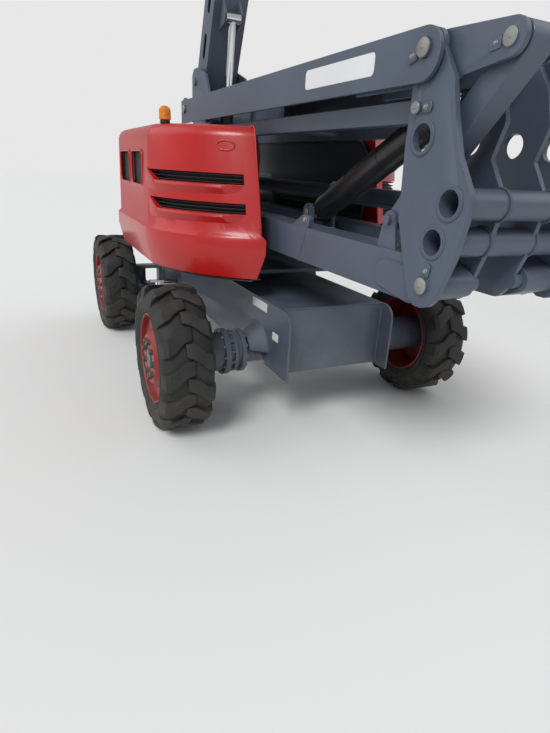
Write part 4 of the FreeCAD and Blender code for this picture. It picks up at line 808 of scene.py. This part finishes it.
class LIFT_OT_covers(bpy.types.Operator):
    """Moulded engine covers with louvre lips, screens, window frames, rolled edge and hand hold"""
    bl_idname = "lift.covers"
    bl_label = "Covers"

    def execute(self, context):
        for name, side in SIDES:
            hood = "hood_" + name
            rounded_copy(hood, cover_paint(), 0.005, 40)
            lips, screens, frames, guards = [bmesh.new() for _ in range(4)]
            for z, x in LOUVRES:
                self.lip(lips, side, z, x)
                self.screen(screens, side, z, x)
            self.latch_plate(lips, side)
            self.edge_bead(lips, side)
            self.grip(lips, side)
            for x0, x1 in WINDOWS:
                self.window_frame(frames, side, x0, x1)
                self.window_screen(guards, side, x0, x1)
            piece("louvre_lips_" + name, lips, hood, cover_paint(), smooth=48)
            piece("louvre_screens_" + name, screens, hood, matte_plastic())
            piece("window_frames_" + name, frames, hood, cover_paint())
            piece("window_screens_" + name, guards, hood, matte_plastic())
        return {"FINISHED"}

    def lip(self, bm, side, z, x):
        """Scoop under a slot: proud of the cover, with an oblique outer end that closes the slot's corner."""
        rings = []
        for t in (i / 32 for i in range(33)):
            swell = 0.034 * min(1.0, 0.25 + 5 * t, 7 * (1 - t))
            top = LOUVRE_H * max(0.0, 1 - t / 0.16)
            section = [(top, -0.014), (top - 0.004, swell * 0.8), (-0.022, swell),
                       (-0.064, 0.002 + swell * 0.25), (-0.092, -0.006)]
            rings.append(off_cover(side, t, z, x, section))
        rings_to_mesh(bm, rings)

    def screen(self, bm, side, z, x):
        """Dark slats behind a slot, on a closed backing."""
        strips = [((level, -0.018), (level + 0.004, -0.018), (level + 0.010, -0.052), (level + 0.006, -0.052))
                  for level in SLATS]
        low, high = -0.012, LOUVRE_H + 0.012
        strips.append(((low, -0.056), (high, -0.056), (high, -0.060), (low, -0.060)))
        for section in strips:
            rings_to_mesh(bm, [off_cover(side, i / 16, z, x, section) for i in range(17)])

    def latch_plate(self, bm, side):
        """Raised plate on the cover's side, at the upper slot's outer end."""
        z, x = LOUVRES[0]
        outline = rounded_outline(x - 0.012, COVER_CORNER[0] + 0.014, z - 0.014, z + LOUVRE_H + 0.008, 0.012)
        add_prism(bm, outline, side * (cover_side() - 0.010), side * (cover_side() + 0.004))

    def edge_bead(self, bm, side):
        """Rolled edge of the cover along its open inner side."""
        front, y = COVER_FRONT - COVER_INSET, side * (COVER_IN + COVER_INSET + 0.004)
        top, rise = COVER_TOP - COVER_INSET - 0.004, 0.070
        back = front - COVER_LEAN
        lean = COVER_LEAN * rise / (top - COVER_STEP)
        points = [(front - lean, y, COVER_STEP + rise), (back + 0.008, y, top - 0.030),
                  (back - 0.002, y, top - 0.008), (back - 0.020, y, top), (-0.980, y, top)]
        add_tube(bm, points, COVER_BEAD)

    def grip(self, bm, side):
        """Oval bead of the hand hold near the cover's upper inner corner."""
        along, rise = GRIP_HALVES
        points = []
        for angle in (2 * pi * i / 28 for i in range(28)):
            z = GRIP_AT[1] + rise * sin(angle)
            points += off_cover(side, GRIP_AT[0] + along * cos(angle), z, LOUVRES[0][1], [(0, 0)])
        add_tube(bm, points, COVER_BEAD, 8, closed=True)

    def window_frame(self, bm, side, x0, x1):
        outline = rounded_outline(x0, x1, *WINDOW_Z, 0.045)
        add_tube(bm, [(x, side * cover_side(), z) for x, z in outline], 0.009, closed=True)

    def window_screen(self, bm, side, x0, x1):
        """Dark sheet behind a window, larger than the opening."""
        face, margin = cover_side() - 0.030, 0.02
        add_box(bm, (x0 - margin, side * face, WINDOW_Z[0] - margin),
                (x1 + margin, side * (face - 0.006), WINDOW_Z[1] + margin))


BULKHEAD_FRONT = 1.185
BULKHEAD_TOP = 1.998
BULKHEAD_CORNER = 0.170       # radius of its upper front corner
SEAL_Y = 0.440
RIB_Y = 0.434
RIB_HEIGHTS = (1.50, 1.56, 1.30)


class LIFT_OT_bulkheads(bpy.types.Operator):
    """Inner walls with pressed ribs and a rubber seal round the free edge"""
    bl_idname = "lift.bulkheads"
    bl_label = "Bulkheads"

    def execute(self, context):
        corner = (BULKHEAD_FRONT - BULKHEAD_CORNER, BULKHEAD_TOP - BULKHEAD_CORNER)
        edge = [(-0.95, BULKHEAD_TOP)] + arc_points(corner, BULKHEAD_CORNER, 90, 0, 12)
        edge.append((BULKHEAD_FRONT, 1.10))
        for name, side in SIDES:
            rounded_copy("bulkhead_" + name, bulkhead_paint(), 0.003)
            bm = bmesh.new()
            add_tube(bm, [(x, side * SEAL_Y, z) for x, z in edge], sizes().seal, 12)
            piece("edge_seal_" + name, bm, "turret", seal_rubber())
            bm = bmesh.new()
            for z in RIB_HEIGHTS:
                add_tube(bm, [(-0.15, side * RIB_Y, z), (BULKHEAD_FRONT - 0.08, side * RIB_Y, z)], 0.009, 8)
            piece("wall_ribs_" + name, bm, "turret", bulkhead_paint())
        return {"FINISHED"}


# Bolts of the front axle's flanges: radius of their circle, distance from the middle, 1 where they face out
AXLE_BOLTS = ((0.146, 0.560, -1), (0.150, 0.720, 1))
SLEW_CIRCLE = 0.482
SLEW_TOP = 0.911
CHASSIS_BOLT = 0.010
# Blank plates on the chassis' right side plate, by their ends and heights
CHASSIS_PLATES = ((1.14, 1.40, 0.815, 0.880), (1.505, 1.600, 0.655, 0.712))


class LIFT_OT_chassis(bpy.types.Operator):
    """Axle bolts, slewing ring bolts and blank plates on the chassis"""
    bl_idname = "lift.chassis"
    bl_label = "Chassis fittings"

    def execute(self, context):
        bm = bmesh.new()
        axle = PIN["wheel_front_left"]
        for side in (-1, 1):
            for radius, face, way in AXLE_BOLTS:
                centre = Vector((axle.x, side * face, axle.z))
                add_bolts(bm, circle(centre, AHEAD, UP, radius, 12), LEFT * (side * way), CHASSIS_BOLT)
        add_bolts(bm, circle(UP * SLEW_TOP, AHEAD, LEFT, SLEW_CIRCLE, 36), UP, CHASSIS_BOLT)
        piece("chassis_bolts", bm, "chassis", pin_zinc())
        bm = bmesh.new()
        for outline in CHASSIS_PLATES:
            add_prism(bm, rounded_outline(*outline, 0.010), -0.4203, -0.4185)
        piece("chassis_plates", bm, "chassis", plate_film())
        return {"FINISHED"}


RISER_PLATE = (1.775, 2.415)  # ends of the blank plate
RISER_PLATE_HALF = 0.047
EAR_FACES = (0.328, 0.358)
# Ear on the arm: x from the seam, z from the arm's upper face
EAR_OUTLINE = ((-0.17, -0.004), (0.045, -0.004), (0.060, 0.055), (0.035, 0.075), (-0.02, 0.075))
EAR_BOLT = (0.014, 0.046)


class LIFT_OT_riser_fittings(bpy.types.Operator):
    """Blank plates on the upper riser, and the bolted ears on the lower riser's arms"""
    bl_idname = "lift.riser_fittings"
    bl_label = "Riser fittings"

    def execute(self, context):
        bm = bmesh.new()
        middle = PIN["upper_riser"].z - 0.012
        outline = rounded_outline(*RISER_PLATE, middle - RISER_PLATE_HALF, middle + RISER_PLATE_HALF, 0.022)
        for side in (-1, 1):
            add_prism(bm, outline, side * (WALL_FACE - 0.001), side * (WALL_FACE + 0.0012))
        piece("riser_plate", bm, "upper_riser", plate_film())
        ears, bolts = bmesh.new(), bmesh.new()
        top = PIN["mid_upright"].z + ARM_HALF
        back, face = EAR_FACES
        for side in (-1, 1):
            add_prism(ears, [(ARM_SEAM_X + x, top + z) for x, z in EAR_OUTLINE], side * back, side * face)
            for y, way in ((back + 0.002, -side), (face - 0.002, side)):
                seat = (ARM_SEAM_X + EAR_BOLT[0], side * y, top + EAR_BOLT[1])
                add_bolt(bolts, seat, LEFT * way, sizes().bolt)
        piece("arm_ears", ears, "lower_riser", steel_paint(), bevel=0.004)
        piece("ear_bolts", bolts, "lower_riser", pin_zinc())
        return {"FINISHED"}


# Body, turning joint, sliding joint, barrel radius, barrel length and how far the head stands out
RAMS = (
    ("riser_barrel", "riser_barrel", "riser_rod", 0.084, 1.330, 0.012),
    ("boom_barrel", "boom_barrel", "boom_rod", 0.062, 0.880, 0.008),
    ("jib_barrel", "jib_barrel", "jib_rod", 0.038, 0.480, 0.006),
)
GLAND_LENGTH = 0.075
PORTS = (0.16, 0.90)          # along the barrel
CLIPS = (0.35, 0.60, 0.80)
CLIP_WIDTH = 0.016


class LIFT_OT_cylinders(bpy.types.Operator):
    """Glands, ports and clipped steel lines on the cylinders"""
    bl_idname = "lift.cylinders"
    bl_label = "Cylinders"

    def execute(self, context):
        for name, turning, sliding, radius, length, offset in RAMS:
            foot, way = PIN[turning], WAY[sliding]
            up = (UP - way * UP.dot(way)).normalized()
            self.gland(name, foot, way, up, radius, length, offset)
            self.line(name, foot, way * length, up, radius)
            bm = bmesh.new()
            for t in CLIPS:
                start = foot + way * (length * t - CLIP_WIDTH / 2)
                add_sleeve(bm, start, way, radius - 0.001, radius + 0.002, CLIP_WIDTH)
            piece(name + "_clips", bm, name, black_paint())
        return {"FINISHED"}

    def gland(self, name, foot, way, up, radius, length, offset):
        """Stepped head with its bolts, and the two ports on the barrel."""
        bm = bmesh.new()
        end, head = foot + way * length, radius + offset
        profile = [(0, radius + 0.001), (0.006, head + 0.003), (0.064, head + 0.003), (GLAND_LENGTH, head)]
        add_turned(bm, end - way * GLAND_LENGTH, way, profile, 48)
        spots = circle(end, way.cross(up), up, radius + offset * 0.2, 8, radians(22))
        add_bolts(bm, spots, way, radius * 0.09)
        step = radius * 0.22
        for t in PORTS:
            seat = foot + way * (length * t) + up * (radius - 0.004)
            add_turned(bm, seat, up, [(0, radius * 0.30), (step, radius * 0.30)], 24)
            add_turned(bm, seat + up * step, up, [(0, radius * 0.2), (radius * 0.2, radius * 0.2)], 6)
        piece(name + "_gland", bm, name, black_paint())

    def line(self, name, foot, barrel, up, radius):
        """Steel line from port to port along the barrel."""
        bm = bmesh.new()
        pipe = min(sizes().pipe, radius * 0.14)
        low, high = radius * 1.22, radius * 1.10
        run = [(0.16, low), (0.18, low + pipe), (0.21, high), (0.85, high), (0.88, low + pipe), (0.90, low)]
        add_tube(bm, [foot + barrel * t + up * lift for t, lift in run], pipe)
        piece(name + "_line", bm, name, pin_zinc())


BOOM_UP = radians(67.0)
PAD_REACHES = (5.050, 5.120)  # along the boom from its foot pin
PAD_SIDE = (0.174, (-0.070, 0.0, 0.070))    # side pads: face, and their bolts across it
PAD_TOP = (0.149, (-0.090, 0.090))          # upper and lower pads
PAD_BOLT = 0.013
LINE_RUN = ((0.75, 0.165), (0.80, 0.172), (4.85, 0.172), (4.92, 0.166))
LINE_LIFTS = (-0.030, 0.0, 0.030)
CLIP_REACHES = [0.95 + number * 0.475 for number in range(9)]
CLIP_OUTLINE = ((-0.050, 0.158), (-0.050, 0.166), (-0.042, 0.184), (0.042, 0.184), (0.050, 0.166),
                (0.050, 0.158))


def on_boom(reach, lift, y):
    """A place by its distance along the boom, above its middle line and to the left."""
    along = Vector((cos(BOOM_UP), 0, sin(BOOM_UP)))
    return PIN["boom_lift"] + along * reach + Vector((-along.z, 0, along.x)) * lift + LEFT * y


class LIFT_OT_boom_fittings(bpy.types.Operator):
    """Pad bolts and clipped lines along the main boom"""
    bl_idname = "lift.boom_fittings"
    bl_label = "Boom fittings"

    def execute(self, context):
        bm = bmesh.new()
        square = on_boom(0, 1, 0) - on_boom(0, 0, 0)
        for side in (-1, 1):
            for reach in PAD_REACHES:
                for lift in PAD_SIDE[1]:
                    add_bolt(bm, on_boom(reach, lift, side * PAD_SIDE[0]), LEFT * side, PAD_BOLT)
                for y in PAD_TOP[1]:
                    add_bolt(bm, on_boom(reach, side * PAD_TOP[0], y), square * side, PAD_BOLT)
        piece("pad_bolts", bm, "main_boom", pin_zinc())
        lines, clips = bmesh.new(), bmesh.new()
        for lift in LINE_LIFTS:
            add_tube(lines, [on_boom(reach, lift, y) for reach, y in LINE_RUN], 0.008, 8)
        for reach in CLIP_REACHES:
            rings_to_mesh(clips, [[on_boom(end, lift, y) for lift, y in CLIP_OUTLINE]
                                  for end in (reach, reach + 0.030)])
        piece("boom_lines", lines, "main_boom", pin_zinc())
        piece("boom_clips", clips, "main_boom", black_paint(), bevel=0.002)
        return {"FINISHED"}


LENS_RADIUS = 0.0415
LENS_CROWN = ((0.030, 0.0405), (0.014, 0.034), (0.004, 0.020), (0.0, 0.006))    # down from its top, radius
LENS_FOOT = 0.024             # height of the beacon's foot under the lens
FOOT_PROFILE = ((0, 0.034), (0.004, 0.036), (0.020, 0.034), (0.026, 0.030))


class LIFT_OT_beacon(bpy.types.Operator):
    """Warning light: black foot and ribbed amber lens"""
    bl_idname = "lift.beacon"
    bl_label = "Beacon"

    def execute(self, context):
        low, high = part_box("beacon")
        seat = Vector(((low.x + high.x) / 2, (low.y + high.y) / 2, low.z))
        bm = bmesh.new()
        add_turned(bm, seat, UP, FOOT_PROFILE, 48)
        piece("beacon_foot", bm, "hood_right", matte_plastic())
        bm = bmesh.new()
        height = high.z - low.z - LENS_FOOT
        profile = [(0.0, 0.038), (0.004, LENS_RADIUS)]
        for z in (0.010 + i * 0.008 for i in range(6)):
            profile += [(z, LENS_RADIUS), (z + 0.002, 0.0400), (z + 0.006, 0.0400)]
        profile += [(height - drop, radius) for drop, radius in LENS_CROWN]
        add_turned(bm, seat + UP * LENS_FOOT, UP, profile, 48)
        lens = piece("beacon_lens", bm, "hood_right", amber_lens())
        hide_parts("beacon")
        return {"FINISHED"}


DECK_TOP = 7.433
DECK_WIDTH = 0.914
DECK_ROWS, DECK_COLUMNS = 17, 46
DECK_MARGIN = (0.070, 0.080)
LOZENGE = (0.017, 0.3, 0.0025)              # half its length, its width to its length, and its rise
LEVER_SEATS = (-0.24, 0.0, 0.24)            # across the console
LEVER = ((0, 0.030), (0.006, 0.028), (0.016, 0.016), (0.060, 0.009), (0.085, 0.013), (0.100, 0.014),
         (0.108, 0.008))
STOP_BUTTON = ((0, 0.016), (0.018, 0.016), (0.020, 0.026), (0.032, 0.026), (0.037, 0.018))
SWITCH = ((0, 0.012), (0.005, 0.012), (0.007, 0.005), (0.030, 0.004), (0.032, 0.001))
HINGE_COLLAR = ((0, 0.021), (0.003, 0.0225), (0.047, 0.0225), (0.05, 0.021))


class LIFT_OT_platform(bpy.types.Operator):
    """Platform's deck and rails, control console and gate latch"""
    bl_idname = "lift.platform"
    bl_label = "Platform"

    def execute(self, context):
        dress_node("platform_basket", deck_steel())
        rounded_copy("control_box", matte_plastic(), 0.012)
        self.console()
        self.deck_pattern()
        self.gate_latch()
        return {"FINISHED"}

    def console(self):
        """Levers, switches and stop button, square to the console's sloping top."""
        low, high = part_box("control_box")
        slope = Vector((high.x - 0.020 - low.x, 0, -(high.z - low.z) * 0.275)).normalized()
        out = Vector((-slope.z, 0, slope.x))
        levers, stop = bmesh.new(), bmesh.new()
        rows = [(levers, y, 0.12, LEVER, 20) for y in LEVER_SEATS] + [(stop, 0.13, 0.10, STOP_BUTTON, 28)]
        rows += [(levers, -0.28 + 0.07 * number, 0.045, SWITCH, 12) for number in range(5)]
        for bm, y, along, profile, count in rows:
            add_turned(bm, Vector((low.x, y, high.z)) + slope * along, out, profile, count)
        piece("console_levers", levers, "platform", matte_plastic())
        piece("console_stop", stop, "platform", stop_red())

    def deck_pattern(self):
        """Raised lozenges over the floor, in alternating directions."""
        low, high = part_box("platform_basket")
        bm = bmesh.new()
        margin_x, margin_y = DECK_MARGIN
        start = Vector((high.x - DECK_WIDTH + margin_x, low.y + margin_y, DECK_TOP))
        step_x = (DECK_WIDTH - 2 * margin_x) / (DECK_ROWS - 1)
        step_y = (high.y - low.y - 2 * margin_y) / (DECK_COLUMNS - 1)
        half, slim, rise = LOZENGE
        for row in range(DECK_ROWS):
            for column in range(DECK_COLUMNS):
                centre = start + Vector((row * step_x, column * step_y, 0))
                turn = radians(45 if (row + column) % 2 else -45)
                long_way = Vector((cos(turn), sin(turn), 0)) * half
                short_way = Vector((-long_way.y, long_way.x, 0)) * slim
                rim = [bm.verts.new(centre + way) for way in (long_way, short_way, -long_way, -short_way)]
                crown = bm.verts.new(centre + UP * rise)
                for i in range(4):
                    bm.faces.new((rim[i], rim[(i + 1) % 4], crown))
        piece("deck_pattern", bm, "platform", deck_steel(), smooth=10)

    def gate_latch(self):
        """Latch box, striker and hinge collars on the gate."""
        low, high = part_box("platform_gate")
        y = (low.y + high.y) / 2
        bm = bmesh.new()
        for z in (low.z + 0.12, high.z - 0.16):
            add_turned(bm, (low.x + 0.019, y, z), UP, HINGE_COLLAR, 24)
        x, z = high.x - 0.047, high.z - 0.085
        add_box(bm, (x - 0.013, y - 0.016, z - 0.045), (x + 0.013, y + 0.016, z + 0.045))
        add_tube(bm, [(x, y - 0.014, z), (x, y - 0.040, z), (x, y - 0.052, z - 0.015)], 0.006, 8)
        piece("gate_latch", bm, body_of_node("platform_gate"), pin_zinc(), bevel=0.0015)


# Stage
FLOOR_REACH = 60.0
# Name, where the light comes from, spread in degrees and strength
SUNS = (("key", (6.0, -6.5, 9.0), 22, 1.75), ("fill", (-5.0, -8.0, 6.0), 50, 0.55),
        ("back", (2.0, 9.0, 7.0), 50, 0.45))


class LIFT_OT_stage(bpy.types.Operator):
    """Floor, backdrop, lights and camera"""
    bl_idname = "lift.stage"
    bl_label = "Stage"

    def execute(self, context):
        self.floor()
        self.lights()
        self.camera()
        context.scene.view_settings.view_transform = "Standard"
        return {"FINISHED"}

    def floor(self):
        mesh = bpy.data.meshes.new("studio_floor")
        corners = [(x * FLOOR_REACH, y * FLOOR_REACH, 0) for x, y in ((-1, -1), (1, -1), (1, 1), (-1, 1))]
        mesh.from_pydata(corners, [], [(0, 1, 2, 3)])
        ground = bpy.data.objects.new("studio_floor", mesh)
        bpy.context.scene.collection.objects.link(ground)
        material, tree, shader = new_material("studio floor")
        fill(tree, shader, {"Base Color": rgba(colours().floor), "Roughness": 0.75})
        mesh.materials.append(material)

    def lights(self):
        """Soft world light, a plain grey behind the machine, and three suns."""
        world = bpy.data.worlds.new("studio")
        bpy.context.scene.world = world
        world.use_nodes = True
        tree = world.node_tree
        lit = tree.nodes["Background"]
        fill(tree, lit.inputs, {"Color": (0.95, 0.98, 1.0, 1), "Strength": 0.46})
        seen = node(tree, "Background", Color=(0.80, 0.80, 0.80, 1), Strength=1.0)
        rays = node(tree, "LightPath")
        mixed = node(tree, "MixShader")
        fill(tree, mixed.inputs, {0: rays.outputs["Is Camera Ray"], 1: lit.outputs[0], 2: seen.outputs[0]})
        feed(tree, mixed.outputs[0], tree.nodes["World Output"].inputs["Surface"])
        for name, way, spread, strength in SUNS:
            lamp = bpy.data.lights.new(name, "SUN")
            lamp.angle = radians(spread)
            lamp.energy = strength
            holder = bpy.data.objects.new(name, lamp)
            bpy.context.scene.collection.objects.link(holder)
            holder.rotation_euler = (-Vector(way)).to_track_quat("-Z", "Y").to_euler()

    def camera(self):
        lens = bpy.data.cameras.new("picture")
        holder = bpy.data.objects.new("picture", lens)
        bpy.context.scene.collection.objects.link(holder)
        lens.lens = CAMERA_LENS
        lens.clip_end = 200
        turn, dip, roll = (radians(v) for v in (CAMERA_TURN, CAMERA_DIP, CAMERA_ROLL))
        level = Vector((-cos(turn), sin(turn), 0))
        ahead = level * cos(dip) - Vector((0, 0, sin(dip)))
        above = level * sin(dip) + Vector((0, 0, cos(dip)))
        across = ahead.cross(above)
        right = across * cos(roll) + above * sin(roll)
        up = above * cos(roll) - across * sin(roll)
        axes = Matrix((right, up, -ahead)).transposed().to_4x4()
        holder.matrix_world = Matrix.Translation(CAMERA_AT) @ axes
        bpy.context.scene.camera = holder


STEPS = (LIFT_OT_steel, LIFT_OT_welds, LIFT_OT_pins, LIFT_OT_tyres, LIFT_OT_rims, LIFT_OT_covers,
         LIFT_OT_bulkheads, LIFT_OT_chassis, LIFT_OT_riser_fittings, LIFT_OT_cylinders, LIFT_OT_boom_fittings,
         LIFT_OT_beacon, LIFT_OT_platform, LIFT_OT_stage)


class LIFT_PT_panel(bpy.types.Panel):
    """Lists the pieces, their sizes and their colours"""
    bl_label = "Boom lift"
    bl_idname = "LIFT_PT_panel"
    bl_space_type = "VIEW_3D"
    bl_region_type = "UI"
    bl_category = "Boom lift"

    def draw(self, context):
        for step in STEPS:
            self.layout.operator(step.bl_idname)
        for group in (context.scene.lift_sizes, context.scene.lift_colours):
            for name in group.__annotations__:
                self.layout.prop(group, name)


CLASSES = (LiftColours, LiftSizes) + STEPS + (LIFT_PT_panel,)


def register():
    for made in CLASSES:
        bpy.utils.register_class(made)
    bpy.types.Scene.lift_colours = bpy.props.PointerProperty(type=LiftColours)
    bpy.types.Scene.lift_sizes = bpy.props.PointerProperty(type=LiftSizes)


def unregister():
    del bpy.types.Scene.lift_sizes
    del bpy.types.Scene.lift_colours
    for made in reversed(CLASSES):
        bpy.utils.unregister_class(made)


def corners(box):
    return [[round(value, 5) for value in corner] for corner in box]


def main():
    register()
    for step in STEPS:
        getattr(bpy.ops.lift, step.bl_idname.split(".")[1])()


if __name__ == "__main__":
    main()
